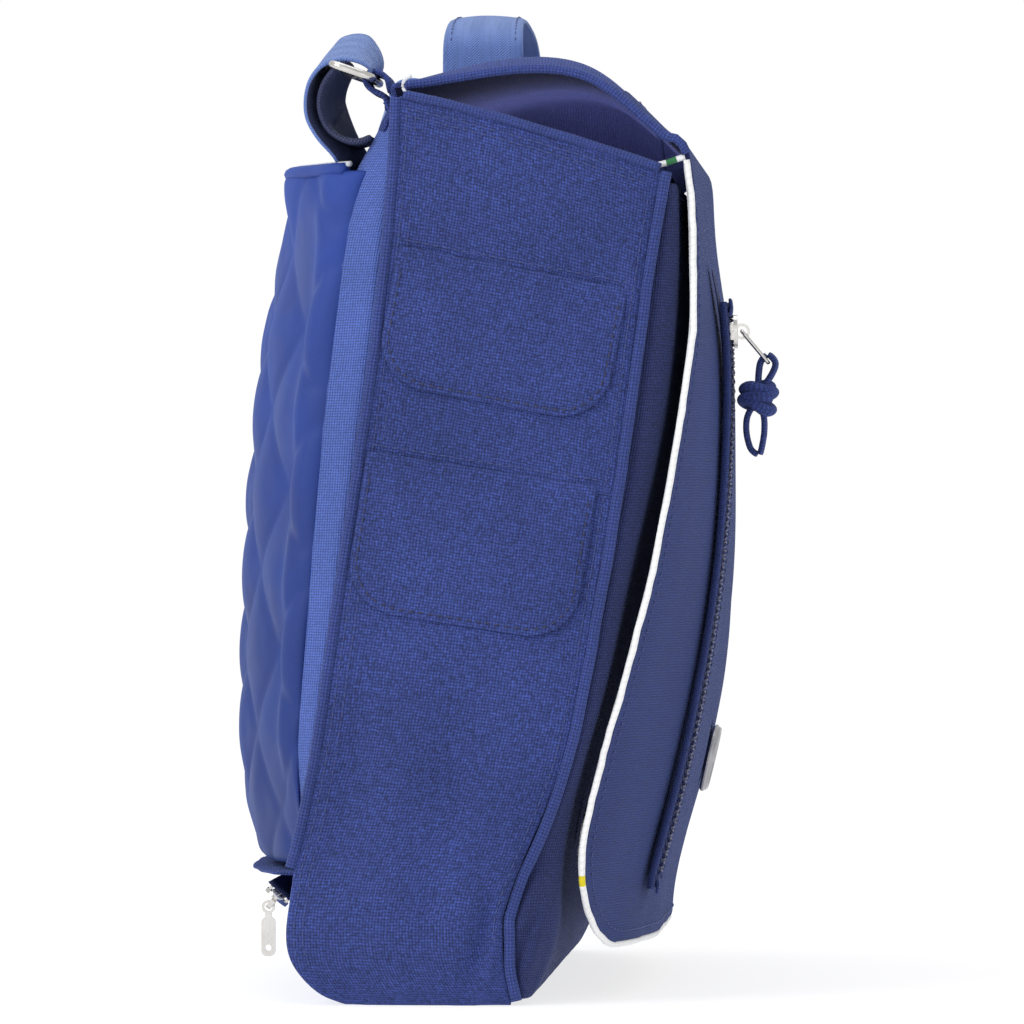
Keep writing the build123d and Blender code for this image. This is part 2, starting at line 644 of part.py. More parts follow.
SLIDER_START = ZIP_START + 0.7
slider_out = Vector(0, math.cos(math.radians(SLIDER_START)), math.sin(math.radians(SLIDER_START)))
slider_origin = zip_centre + slider_out * (ZIP_R + CHAIN_BASE) + Vector(ZIP_X, 0, 0)
slider_along = Vector(0, -slider_out.Z, slider_out.Y)
flap_slider_plane = Plane(slider_origin, x_dir=slider_along, z_dir=slider_out)
with BuildPart() as flap_zip_slider:
    slider_body(flap_slider_plane, SLIDER_LENGTH, SLIDER_WIDTH)
finish(flap_zip_slider, "flap_zip_slider")

# Bail: a wire loop through the slider's eye, leaning out; the fabric pull hangs from its far bar
BAIL_WIRE_R, BAIL_LENGTH, BAIL_HALF, BAIL_ANGLE = 0.7, 14.6, 3.6, 50.0
bail_hinge = slider_origin + slider_out * EYE_HEIGHT
bail_way = Vector(0, -math.cos(math.radians(BAIL_ANGLE)), -math.sin(math.radians(BAIL_ANGLE)))
bail_foot = bail_hinge + bail_way * BAIL_LENGTH
bail_plane = Plane(bail_hinge, x_dir=(1, 0, 0), z_dir=Vector(1, 0, 0).cross(bail_way))
with BuildPart() as flap_zip_bail:
    with BuildLine(bail_plane) as bail_path:
        FilletPolyline((BAIL_HALF, 0), (BAIL_HALF, BAIL_LENGTH), (-BAIL_HALF, BAIL_LENGTH), (-BAIL_HALF, 0),
                       radius=1.6, close=True)
    with BuildSketch(bail_path.line ^ 0):
        Circle(BAIL_WIRE_R)
    sweep(path=bail_path.line)
finish(flap_zip_bail, "flap_zip_bail")

with BuildPart() as flap_zip_pull:
    pull_plane = Plane(bail_foot, x_dir=(0, 1, 0), z_dir=(1, 0, 0))
    with BuildSketch(pull_plane):
        Circle(3.4)
        with BuildLine():
            Polyline((-3, -2), (3, -1), (7.4, -18), (9.6, -33), (3.8, -33), (0, -17), (-3, -2))
        make_face()
        Circle(1.3, mode=Mode.SUBTRACT)
    extrude(amount=2.2, both=True)
    with BuildSketch(pull_plane):
        with Locations((3.6, -12)):
            Ellipse(6.0, 6.8)
    extrude(amount=5.5, both=True)
finish(flap_zip_pull, "flap_zip_pull")

# Badge and magnets
BADGE_Z, MAGNET_X, MAGNET_Z, MAGNET_R, MAGNET = 82.0, 100.0, 58.0, 9.0, 2.2


def face_plane(points, x, z, stand_off):
    """Plane on a profile at (x, z), facing -Y, standing off its surface."""
    slope = (between(points, z + 8) - between(points, z - 8)) / 16
    normal = Vector(0, -1, slope).normalized()
    return Plane(Vector(x, between(points, z), z) + normal * stand_off, x_dir=(1, 0, 0), z_dir=normal)


with BuildPart() as flap_badge:
    with BuildSketch(face_plane(flap_profile(0), 0, BADGE_Z, 0.8)):
        SlotOverall(40, 25)
    extrude(amount=2.2)
    chamfer(flap_badge.faces().sort_by(Axis.Y)[0].edges(), 0.8)
finish(flap_badge, "flap_badge")

magnet_depth = FLAP_SKIN + GAP + FLAP_LINING + 1.6
with BuildPart() as flap_magnets:
    with BuildSketch(face_plane(flap_profile(MAGNET_X), -MAGNET_X, MAGNET_Z, -magnet_depth)):
        Circle(MAGNET_R)
    extrude(amount=-MAGNET)
    mirror(about=Plane.YZ)
finish(flap_magnets, "flap_magnets")

with BuildPart() as body_magnets:
    with BuildSketch(face_plane(POCKET_FACE, -MAGNET_X, MAGNET_Z, 0.9)):
        Circle(MAGNET_R)
    extrude(amount=MAGNET)
    mirror(about=Plane.YZ)
finish(body_magnets, "body_magnets")

# ---------------------------------------------------------------- strap
RING_WIRE_R, RING_LENGTH, RING_WIDTH = 1.5, 44.0, 14.8
RING_Y, RING_Z, RING_TILT = 41.5, 325.5, 18.9  # axis of the ring's front bar, and its slope up to the back
ring_up = Vector(0, math.cos(math.radians(RING_TILT)), math.sin(math.radians(RING_TILT)))
ring_plane = Plane(Vector(-RING_X, RING_Y, RING_Z), x_dir=(1, 0, 0), z_dir=Vector(1, 0, 0).cross(ring_up))
with BuildPart() as strap_ring_left:
    with BuildLine(ring_plane) as ring_path:
        FilletPolyline((RING_LENGTH / 2, 0), (RING_LENGTH / 2, RING_WIDTH), (-RING_LENGTH / 2, RING_WIDTH),
                       (-RING_LENGTH / 2, 0), radius=4, close=True)
    with BuildSketch(ring_path.line ^ 0):
        Circle(RING_WIRE_R)
    sweep(path=ring_path.line)
finish(strap_ring_left, "strap_ring_left")

with BuildPart() as strap_tab_left:
    with BuildSketch(Plane.YZ.offset(-RING_X)):
        with BuildLine():
            Polyline((37.8, 324), (44.6, 323), (45.2, 307), (42.0, 307), (37.8, 324))
        make_face()
        with Locations((RING_Y, RING_Z)):
            Circle(4.0)
            Circle(2.1, mode=Mode.SUBTRACT)
    extrude(amount=STRAP_WIDTH / 2 - 2, both=True)
finish(strap_tab_left, "strap_tab_left")

# The strap's end threads the ring and curls over and down towards the rear pocket's mouth
STRAP_CURL = [(51, 303.5), (58, 307), (63, 316), (63.5, 326), (59, 336), (53, 338.5), (49, 334),
              (48.2, 326), (50, 316)]
with BuildPart() as strap_end_left:
    with BuildLine(Plane.YZ.offset(-RING_X)) as curl_path:
        Spline(STRAP_CURL)
    with BuildSketch(Plane(curl_path.line @ 0, x_dir=(1, 0, 0), z_dir=curl_path.line % 0)):
        Rectangle(STRAP_WIDTH - 4, STRAP)
    sweep(path=curl_path.line)
finish(strap_end_left, "strap_end_left")

for piece in (strap_ring_left, strap_tab_left, strap_end_left):
    with BuildPart() as mirrored:
        mirror(piece.part, about=Plane.YZ)
    finish(mirrored, piece.part.label.replace("left", "right"))

# The rest of the strap is stowed in the rear pocket, with its adjuster on the lower run
STOWED_TOP, STOWED_LOW, STOWED_OFF = 292.0, 150.0, 2.0
with BuildPart() as strap_stowed:
    with BuildSketch(Plane.YZ.offset(-QUILT_HALF + 15)):
        with BuildLine():
            ribbon(QUILT_EDGE, STRAP, STOWED_OFF)
        make_face()
    extrude(amount=2 * QUILT_HALF - 30)
    with BuildSketch(Plane.XZ.offset(-150)):
        with Locations((0, (STOWED_TOP + STOWED_LOW) / 2)):
            Rectangle(2 * QUILT_HALF - 34, STOWED_TOP - STOWED_LOW)
        with Locations((0, (STOWED_TOP + STOWED_LOW) / 2 + STRAP_WIDTH)):
            Rectangle(2 * QUILT_HALF - 34 - 2 * STRAP_WIDTH, STOWED_TOP - STOWED_LOW, mode=Mode.SUBTRACT)
    extrude(amount=150, mode=Mode.INTERSECT)
finish(strap_stowed, "strap_stowed")

adjuster_z = STOWED_LOW + STRAP_WIDTH / 2
adjuster_y = 62.7 + STOWED_OFF + STRAP / 2
with BuildPart() as strap_adjuster:
    with BuildSketch(Plane((-40, adjuster_y, adjuster_z), x_dir=(0, -0.069, 1), z_dir=(1, 0, 0))):
        RectangleRounded(STRAP_WIDTH + 8, 7.6, 2)
        RectangleRounded(STRAP_WIDTH + 2, 4.2, 1, mode=Mode.SUBTRACT)
    extrude(amount=9, both=True)
finish(strap_adjuster, "strap_adjuster")
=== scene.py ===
import json
import math

import bpy
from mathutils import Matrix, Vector, noise
from mathutils.bvhtree import BVHTree


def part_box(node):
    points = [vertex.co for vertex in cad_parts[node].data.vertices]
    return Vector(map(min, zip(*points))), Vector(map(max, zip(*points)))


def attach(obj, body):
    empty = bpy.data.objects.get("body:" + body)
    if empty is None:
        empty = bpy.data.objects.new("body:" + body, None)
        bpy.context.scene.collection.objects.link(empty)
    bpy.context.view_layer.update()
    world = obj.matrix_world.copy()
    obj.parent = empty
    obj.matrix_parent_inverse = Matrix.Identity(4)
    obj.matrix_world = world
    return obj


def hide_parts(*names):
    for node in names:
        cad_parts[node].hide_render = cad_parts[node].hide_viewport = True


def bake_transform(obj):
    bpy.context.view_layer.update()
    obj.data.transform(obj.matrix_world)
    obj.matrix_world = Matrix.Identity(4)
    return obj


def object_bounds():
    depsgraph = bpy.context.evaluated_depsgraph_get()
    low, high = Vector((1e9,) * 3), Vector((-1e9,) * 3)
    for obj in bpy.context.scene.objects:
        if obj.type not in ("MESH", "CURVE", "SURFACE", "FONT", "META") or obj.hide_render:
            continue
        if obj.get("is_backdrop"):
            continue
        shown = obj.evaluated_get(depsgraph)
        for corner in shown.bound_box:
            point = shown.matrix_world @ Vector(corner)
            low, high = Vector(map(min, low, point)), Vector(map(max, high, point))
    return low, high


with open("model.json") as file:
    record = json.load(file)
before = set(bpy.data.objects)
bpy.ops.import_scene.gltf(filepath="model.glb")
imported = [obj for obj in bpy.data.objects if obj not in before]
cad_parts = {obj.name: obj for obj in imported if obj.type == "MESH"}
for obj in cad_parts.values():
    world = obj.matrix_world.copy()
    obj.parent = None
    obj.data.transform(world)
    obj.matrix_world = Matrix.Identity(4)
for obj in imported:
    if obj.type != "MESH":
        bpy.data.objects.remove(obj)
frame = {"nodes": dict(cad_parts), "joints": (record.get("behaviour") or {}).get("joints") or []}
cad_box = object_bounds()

# The diaper bag's looks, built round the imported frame. Sizes are in millimetres; a mesh is
# scaled to metres when it is made. +X is across the bag, -Y its flap side, +Z up.
MM = 0.001
FAR = 500.0  # well outside the bag, where rays start
RIGHT, BACK, UP = Vector((1, 0, 0)), Vector((0, 1, 0)), Vector((0, 0, 1))
HEART = Vector((0, 0, 160))  # a point well inside the bag, which the outer cloth faces away from
FLAP_HEART = Vector((0, 40, 150))  # the same for the flap's cloth
SIDES = {"left": -1, "right": 1}


# ---------------------------------------------------------------- numbers and curves
def lerp(a, b, t):
    return a + (b - a) * t


def steps(first, last, count):
    """Evenly spaced values from first to last."""
    return [lerp(first, last, i / (count - 1)) for i in range(count)]


def clamp(value, low, high):
    return max(low, min(high, value))


def smooth(t):
    t = clamp(t, 0.0, 1.0)
    return t * t * (3 - 2 * t)


def bell(distance, width):
    return math.exp(-((distance / width) ** 2))


def rumple(point, size, seed=0):
    """Smooth noise from -1 to 1 with lumps of about the given size."""
    return noise.noise(Vector(point) / size + Vector((7.3, 3.1, 1.7)) * seed)


def curve_through(knots, spacing=3.0, closed=False):
    """A smooth curve through the knots, as evenly spaced points."""
    knots = [Vector(k) for k in knots]
    ends = [knots[-1]] + knots + knots[:2] if closed else [knots[0]] + knots + [knots[-1]]
    path = []
    for a, b, c, d in zip(ends, ends[1:], ends[2:], ends[3:]):
        count = max(2, int((c - b).length / spacing))
        for i in range(count):
            t = i / count
            path.append(0.5 * (2 * b + (c - a) * t + (2 * a - 5 * b + 4 * c - d) * t**2
                               + (3 * b - a - 3 * c + d) * t**3))
    return path if closed else path + [knots[-1]]


def even(path, spacing):
    """The same path with points a fixed distance apart."""
    result, left = [path[0]], spacing
    for a, b in zip(path, path[1:]):
        length = (b - a).length
        while length > 1e-9 and left <= length:
            result.append(a.lerp(b, left / length))
            left += spacing
        left -= length
    return result


# ---------------------------------------------------------------- the frame's surfaces
class Probe:
    """The outer surface of some CAD nodes, found by rays."""

    def __init__(self, *names):
        points, faces = [], []
        for name in names:
            mesh = frame["nodes"][name].data
            first = len(points)
            points += [vertex.co / MM for vertex in mesh.vertices]
            faces += [[first + i for i in face.vertices] for face in mesh.polygons]
        self.tree = BVHTree.FromPolygons(points, faces)

    def cast(self, start, way):
        hit = self.tree.ray_cast(Vector(start), way)[0]
        if hit is None:
            raise ValueError(f"no surface at {tuple(start)}")
        return hit

    def front(self, x, z):
        return self.cast((x, -FAR, z), BACK).y

    def back(self, x, z):
        return self.cast((x, FAR, z), -BACK).y

    def top(self, x, y):
        return self.cast((x, y, FAR), -UP).z


def size(node):
    """A CAD node's lowest and highest corners, in millimetres."""
    low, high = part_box(node)
    return low / MM, high / MM


# ---------------------------------------------------------------- meshes
def make(name, points, faces, uvs, material):
    """A smooth-shaded mesh object from points in millimetres, with its cloth lying in the UVs."""
    mesh = bpy.data.meshes.new(name)
    mesh.from_pydata([Vector(p) * MM for p in points], [], faces)
    layer = mesh.uv_layers.new(name="cloth")
    for loop in mesh.loops:
        layer.data[loop.index].uv = uvs[loop.vertex_index]
    mesh.materials.append(material)
    mesh.polygons.foreach_set("use_smooth", [True] * len(faces))
    mesh.update()
    piece = bpy.data.objects.new(name, mesh)
    bpy.context.scene.collection.objects.link(piece)
    return piece


def subdivide(piece, level):
    modifier = piece.modifiers.new("rounding", "SUBSURF")
    modifier.levels = modifier.render_levels = level


def quads(rows, wide, first=0, wrap=False):
    """Faces between rows of points; with wrap, each row meets its own start."""
    columns = range(wide if wrap else wide - 1)
    corners = [(first + i * wide, j, (j + 1) % wide) for i in range(rows - 1) for j in columns]
    return [(row + j, row + k, row + wide + k, row + wide + j) for row, j, k in corners]


def grid_uvs(rows):
    """UVs in millimetres: across from each row's middle, along down the middle column."""
    middle = len(rows[0]) // 2
    uvs, along = [], 0.0
    for i, row in enumerate(rows):
        along += (row[middle] - rows[i - 1][middle]).length if i else 0.0
        reach = [0.0]
        for a, b in zip(row, row[1:]):
            reach.append(reach[-1] + (b - a).length)
        uvs += [(r - reach[middle], along) for r in reach]
    return uvs


def sheet(name, rows, material, thickness=0.0, inside=HEART, flip=False, level=1, closed=False):
    """Cloth through rows of points. It faces away from the inside point and is thick behind."""
    rows = [[Vector(p) for p in row] for row in rows]
    if closed:
        rows = [row + row[:1] for row in rows]
    across = len(rows[0])
    points = [p for row in rows for p in row]
    faces = quads(len(rows), across)
    outward = 0.0
    for a, b, c, d in faces:
        normal = (points[c] - points[a]).cross(points[d] - points[b])
        outward += normal.dot((points[a] + points[c]) / 2 - inside)
    if (outward < 0) != flip:
        faces = [face[::-1] for face in faces]
    piece = make(name, points, faces, grid_uvs(rows), material)
    if closed:
        weld(piece)
    if thickness:
        modifier = piece.modifiers.new("thickness", "SOLIDIFY")
        modifier.thickness, modifier.offset = thickness * MM, -1
    if level:
        subdivide(piece, level)
    return piece


def weld(piece):
    """Joins points that lie on each other."""
    modifier = piece.modifiers.new("weld", "WELD")
    modifier.merge_threshold = 0.01 * MM


def tube(name, path, radius, material, closed=False, sides=10, flat=1.0, up=UP):
    """A cord along a path; flat below 1 makes it a band that is thin along the up direction."""
    path = [Vector(p) for p in path]
    count = len(path)
    points, uvs, along = [], [], 0.0
    rings = count + 1 if closed else count
    for k in range(rings):
        i = k % count
        before = path[i - 1] if closed or i else path[0]
        after = path[(i + 1) % count] if closed or i < count - 1 else path[-1]
        tangent = (after - before).normalized()
        normal = up - tangent * up.dot(tangent)
        if normal.length < 0.05:
            normal = RIGHT - tangent * RIGHT.dot(tangent)
        normal.normalize()
        side = tangent.cross(normal)
        if k:
            along += (path[i] - path[i - 1]).length
        r = radius(i / (count - 1)) if callable(radius) else radius
        for j in range(sides + 1):
            angle = math.tau * j / sides
            points.append(path[i] + side * math.cos(angle) * r + normal * math.sin(angle) * r * flat)
            uvs.append((r * angle, along))
    wide = sides + 1
    faces = quads(rings, wide)
    if not closed:
        faces += [tuple(range(sides))[::-1], tuple((rings - 1) * wide + j for j in range(sides))]
    piece = make(name, points, faces, uvs, material)
    weld(piece)
    return piece


def merge(name, pieces):
    """One object from several meshes, with their modifiers kept from the first."""
    bpy.ops.object.select_all(action="DESELECT")
    for piece in pieces:
        piece.select_set(True)
    bpy.context.view_layer.objects.active = pieces[0]
    bpy.ops.object.join()
    pieces[0].name = pieces[0].data.name = name
    return pieces[0]


def drape(piece, points, way):
    """Where rays from the points along a way meet a piece's final surface, with its normal there."""
    bpy.context.view_layer.update()
    graph = bpy.context.evaluated_depsgraph_get()
    tree = BVHTree.FromObject(piece, graph)
    found = []
    for point in points:
        hit, normal, _, _ = tree.ray_cast(Vector(point) * MM, way)
        if hit is not None:
            found.append((hit / MM, normal if normal.dot(way) < 0 else -normal))
    return found


def add_ring(points, uvs, centre, first_way, second_way, radius, count, along):
    """Adds a ring of points round a centre, with their UVs."""
    for j in range(count):
        angle = math.tau * j / count
        points.append(centre + (first_way * math.cos(angle) + second_way * math.sin(angle)) * radius)
        uvs.append((angle, along))


THREAD_RINGS = 5  # rings along a stitch, and sides round it


def stitches(name, line, material, pitch=3.4, share=0.72, radius=0.28):
    """Thread stitches along a draped line: each is a little arch whose ends sink into the cloth."""
    path = [point for point, _ in line]
    normals = [normal for _, normal in line]
    spots = even(path, pitch)
    points, faces, uvs = [], [], []
    nearest = 0
    for a, b in zip(spots, spots[1:]):
        if (b - a).length < pitch * 0.6:
            continue
        while nearest < len(path) - 1 and (path[nearest + 1] - a).length < (path[nearest] - a).length:
            nearest += 1
        normal = normals[nearest]
        along = (b - a).normalized()
        side = along.cross(normal).normalized()
        first = len(points)
        for t in steps(0, 1, THREAD_RINGS):
            arch = math.sin(math.pi * t)
            centre = a + (b - a) * share * t + normal * (radius * (1.5 * arch - 0.6))
            width = radius * (0.55 + 0.45 * arch)
            add_ring(points, uvs, centre, side, normal, width, THREAD_RINGS, pitch * t)
        faces += quads(THREAD_RINGS, THREAD_RINGS, first, wrap=True)
        faces += [tuple(range(first, first + THREAD_RINGS))[::-1],
                  tuple(range(len(points) - THREAD_RINGS, len(points)))]
    return make(name, points, faces, uvs, material)


def finish(piece, slot, nodes):
    if nodes:
        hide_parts(*nodes)
    return piece


def sew(name, piece, spots, way, thread=None, radius=0.28, **riding):
    """Stitches laid where rays from the spots meet a piece; they ride as given."""
    line = drape(piece, spots, way)
    return dress(stitches(name, line, thread or THREAD, radius=radius), **riding)


def dress(piece, *nodes, body="bag", slot="woven_blue"):
    """Sets what a piece rides on and hides the CAD nodes it stands for; its finish slot is not used."""
    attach(piece, body)
    return finish(piece, slot, nodes)


def bend(piece, *nodes, first="bag", second, start, end, slot="woven_blue"):
    """Bakes a piece's placement into its mesh and hides the CAD nodes it stands for; start and end are (Y,
    Z).
    """
    Vector((0, *start)) * MM
    Vector((0, *end)) * MM
    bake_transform(piece)
    return finish(piece, slot, nodes)


# ---------------------------------------------------------------- materials
def srgb(red, green, blue):
    """A colour given as 0 to 255 screen values, as the linear values that shaders use."""
    values = [v / 255 for v in (red, green, blue)]
    return (*[v / 12.92 if v <= 0.04045 else ((v + 0.055) / 1.055) ** 2.4 for v in values], 1.0)


class Shader:
    """A material whose nodes are added by short calls; each returns an output socket."""

    def __init__(self, name, roughness, metallic=0.0):
        self.material = bpy.data.materials.new(name)
        self.material.use_nodes = True
        self.tree = self.material.node_tree
        self.surface = self.tree.nodes["Principled BSDF"]
        self.set(Roughness=roughness, Metallic=metallic)

    def feed(self, socket, value):
        if isinstance(value, bpy.types.NodeSocket):
            self.tree.links.new(value, socket)
        else:
            socket.default_value = value

    def set(self, **inputs):
        for name, value in inputs.items():
            self.feed(self.surface.inputs[name.replace("_", " ")], value)

    def add(self, kind, output=0, settings=(), **inputs):
        node = self.tree.nodes.new("ShaderNode" + kind)
        for name, value in dict(settings).items():
            setattr(node, name, value)
        for name, value in inputs.items():
            self.feed(node.inputs[name.replace("_", " ")], value)
        return node.outputs[output]

    def math(self, operation, *values):
        node = self.tree.nodes.new("ShaderNodeMath")
        node.operation = operation
        for socket, value in zip(node.inputs, values):
            self.feed(socket, value)
        return node.outputs[0]

    def times(self, first, second):
        return self.math("MULTIPLY", first, second)

    def plus(self, first, second):
        return self.math("ADD", first, second)

    def ridges(self, value, pitch):
        """Round ridges from 0 to 1, one for each pitch along the value."""
        return self.math("ABSOLUTE", self.math("SINE", self.times(value, math.pi / pitch)))

    def mix(self, share, first, second):
        node = self.tree.nodes.new("ShaderNodeMix")
        node.data_type = "RGBA"
        for index, value in ((0, share), (6, first), (7, second)):
            self.feed(node.inputs[index], value)
        return node.outputs[2]

    def span(self, value, low, high, new_low=0.0, new_high=1.0):
        """The value's range from low to high, mapped onto new_low to new_high."""
        return self.add("MapRange", Value=value, From_Min=low, From_Max=high, To_Min=new_low, To_Max=new_high)

    def vary(self, value, low, high):
        """Noise, which mostly lies from 0.3 to 0.7, mapped onto low to high."""
        return self.span(value, 0.3, 0.7, low, high)

    def cloth(self):
        """The cloth's own coordinates, across and along, in millimetres."""
        split = self.tree.nodes.new("ShaderNodeSeparateXYZ")
        self.feed(split.inputs[0], self.add("TexCoord", output=2))
        return split.outputs[0], split.outputs[1]

    def scaled(self, vector, amount):
        node = self.tree.nodes.new("ShaderNodeVectorMath")
        node.operation = "SCALE"
        self.feed(node.inputs[0], vector)
        self.feed(node.inputs[3], amount)
        return node.outputs[0]

    def place(self):
        """The point's place on the bag, in millimetres."""
        return self.scaled(self.add("TexCoord", output=3), 1 / MM)

    def join(self, x, y, z=0.0):
        return self.add("CombineXYZ", X=x, Y=y, Z=z)

    def noise(self, vector, scale, detail=2.0):
        return self.add("TexNoise", Vector=vector, Scale=scale, Detail=detail)

    def bump(self, height, depth):
        """Relief of the given depth in millimetres where height runs from 0 to 1."""
        self.set(Normal=self.add("Bump", Height=height, Distance=depth * MM, Strength=1.0))

    def paint(self, colour, light, **inputs):
        """The base colour, darkened or lightened by an amount round 1; other inputs are set with it."""
        if not isinstance(colour, bpy.types.NodeSocket):
            colour = srgb(*colour)[:3]
        self.set(Base_Color=self.scaled(colour, light), **inputs)

    def nap(self, weight, tint, roughness=0.5):
        self.set(Sheen_Weight=weight, Sheen_Roughness=roughness, Sheen_Tint=srgb(*tint))


WHITE = (255, 255, 255)
BLUE_SHEEN = (150, 170, 230)


def woven(name, colour, pitch=1.5, fleck=0.5, depth=0.35, sheen=0.25, wander=0.3, worn=0.12):
    """Plain weave: two sets of threads that cross over and under, each with its own shade."""
    shader = Shader(name, roughness=0.85)
    across, along = shader.cloth()
    drift = shader.span(shader.noise(shader.join(across, along), 0.09, 3), 0, 1, -wander, wander)
    u = shader.plus(shader.math("DIVIDE", across, pitch), drift)
    v = shader.plus(shader.math("DIVIDE", along, pitch), shader.times(drift, -1.3))
    row, column = shader.math("FLOOR", v), shader.math("FLOOR", u)

    def thread(position, other, number):
        """One set of threads: its round back across, and its wave over and under along."""
        phase = shader.times(shader.plus(other, number), math.pi)
        return shader.ridges(position, 1.0), shader.times(shader.math("SINE", phase), 0.5)

    warp_back, warp_wave = thread(u, v, column)
    weft_back, weft_wave = thread(v, u, row)
    warp = shader.plus(warp_back, warp_wave)
    weft = shader.math("SUBTRACT", weft_back, weft_wave)
    height = shader.span(shader.math("MAXIMUM", warp, weft), 0.2, 1.5)
    on_warp = shader.math("GREATER_THAN", warp, weft)
    warp_tone = shader.noise(shader.join(column, shader.times(v, 0.6), 3.0), 1.7, 1)
    weft_tone = shader.noise(shader.join(shader.times(u, 0.6), row, 9.0), 1.7, 1)
    tone = shader.mix(on_warp, weft_tone, warp_tone)
    faded = shader.noise(shader.place(), 0.02, 3)
    light = shader.span(tone, 0.3, 0.72, 1 - fleck, 1 + fleck)
    light = shader.times(light, shader.vary(faded, 1 - worn, 1 + worn))
    # painted shade and highlight: the gaps between threads are painted darker and the threads' crowns
    # lighter; the tone and fading noise are the cloth's own
    light = shader.times(light, shader.span(height, 0.05, 0.95, 0.5, 1.24))
    shader.paint(colour, light, Roughness=shader.vary(tone, 0.75, 0.95), Specular_IOR_Level=0.25)
    shader.nap(sheen, BLUE_SHEEN)
    shader.bump(shader.plus(height, shader.times(tone, 0.4)), depth)
    return shader.material


PAINTED_SHADE_FROM, PAINTED_SHADE_TO = 100, 290  # heights between which the quilting's painted shade lifts: darkest below the first, none above the last


def satin(name, colour):
    """Smooth microfibre: a very fine nap that lightens at grazing angles and where it was brushed; painted
    shade darkens it towards the bottom.
    """
    shader = Shader(name, roughness=0.55)
    place = shader.place()
    brushed = shader.noise(place, 0.035, 4)
    nap = shader.noise(place, 2.6, 2)
    split = shader.tree.nodes.new("ShaderNodeSeparateXYZ")
    shader.feed(split.inputs[0], place)
    light = shader.times(shader.vary(brushed, 0.88, 1.12), shader.vary(nap, 0.9, 1.1))
    # painted shade: the quilting is darkened towards the bottom, where less light falls on it
    light = shader.times(light, shader.span(split.outputs[2], PAINTED_SHADE_FROM, PAINTED_SHADE_TO, 0.66, 1.0))
    shader.paint(colour, light, Roughness=shader.vary(brushed, 0.5, 0.7), Specular_IOR_Level=0.3)
    shader.nap(0.2, (110, 150, 235), 0.35)
    shader.bump(nap, 0.08)
    return shader.material


def twill(name, colour, pitch=1.1, sheen=0.6):
    """Webbing: fine diagonal ribs that turn at the middle, with a soft shine."""
    shader = Shader(name, roughness=0.5)
    across, along = shader.cloth()
    rib = shader.ridges(shader.plus(shader.math("PINGPONG", across, 5.0), shader.times(along, 1.0)), pitch)
    height = shader.math("MULTIPLY_ADD", shader.ridges(along, 0.7), 0.35, rib)
    tone = shader.noise(shader.join(shader.times(across, 2.0), shader.times(along, 0.1)), 0.5, 3)
    # painted shade in the grooves between the ribs and painted highlight on their crests; the tone noise is
    # the webbing's own
    light = shader.times(shader.span(height, 0, 1.35, 0.72, 1.12), shader.vary(tone, 0.88, 1.12))
    shader.paint(colour, light, Specular_IOR_Level=0.35)
    shader.nap(sheen, (170, 195, 240), 0.4)
    shader.bump(height, 0.22)
    return shader.material


def dotted(shader, base, across, along):
    """The colour with green and yellow spots scattered over it."""
    cells = shader.tree.nodes.new("ShaderNodeTexVoronoi")
    for socket, value in (("Vector", shader.join(across, along)), ("Scale", 0.045), ("Randomness", 0.6)):
        shader.feed(cells.inputs[socket], value)
    spot = shader.math("LESS_THAN", cells.outputs["Distance"], 0.13)
    pick = shader.math("GREATER_THAN", shader.add("SeparateColor", Color=cells.outputs["Color"]), 0.5)
    return shader.mix(spot, base, shader.mix(pick, srgb(60, 130, 80), srgb(218, 205, 68)))


def plain(name, colour, grain=1.4, depth=0.12, dots=False):
    """Thin plain cloth with a fine thread grain; with dots, it is sprinkled with coloured spots."""
    shader = Shader(name, roughness=0.8)
    across, along = shader.cloth()
    height = shader.math("MAXIMUM", shader.ridges(across, 1 / grain), shader.ridges(along, 1 / grain))
    soiled = shader.noise(shader.place(), 0.03, 4)
    # painted shade in the grooves of the grain; the soiling noise is the cloth's own
    light = shader.times(shader.span(height, 0.2, 1, 0.86, 1.02), shader.vary(soiled, 0.95, 1.03))
    base = dotted(shader, srgb(*colour), across, along) if dots else colour
    shader.paint(base, light, Specular_IOR_Level=0.2)
    shader.nap(0.2, WHITE)
    shader.bump(height, depth)
    return shader.material


def ribbed(name, colour, pitch=1.6, depth=0.5, marks=()):
    """Cord whose ribs wind round it; marks are (place along, half length, colour)."""
    shader = Shader(name, roughness=0.7)
    across, along = shader.cloth()
    rib = shader.ridges(shader.plus(along, shader.times(across, 0.35)), pitch)
    soiled = shader.noise(shader.place(), 0.05, 4)
    # painted shade in the grooves between the ribs; the soiling noise is the cord's own
    light = shader.times(shader.span(rib, 0, 0.6, 0.92, 1.0), shader.vary(soiled, 0.94, 1.03))
    base = colour
    for spot, half, mark_colour in marks:
        base = shader.mix(shader.math("COMPARE", along, spot, half), srgb(*base), srgb(*mark_colour))
    shader.paint(base, light, Specular_IOR_Level=0.2)
    shader.nap(0.2, WHITE)
    shader.bump(rib, depth)
    return shader.material


def thread(name, colour):
    """Sewing thread: a fine twist and a low sheen."""
    shader = Shader(name, roughness=0.6)
    across, along = shader.cloth()
    twist = shader.math("SINE", shader.math("MULTIPLY_ADD", along, 9.0, across))
    worn = shader.vary(shader.noise(shader.place(), 0.4, 2), 0.9, 1.1)
    # painted shade in the twist's grooves and painted highlight on its crests; the wear noise is the thread's
    # own
    shader.paint(colour, shader.times(shader.span(twist, -1, 1, 0.75, 1.1), worn))
    shader.nap(0.3, (200, 210, 240))
    shader.bump(twist, 0.05)
    return shader.material


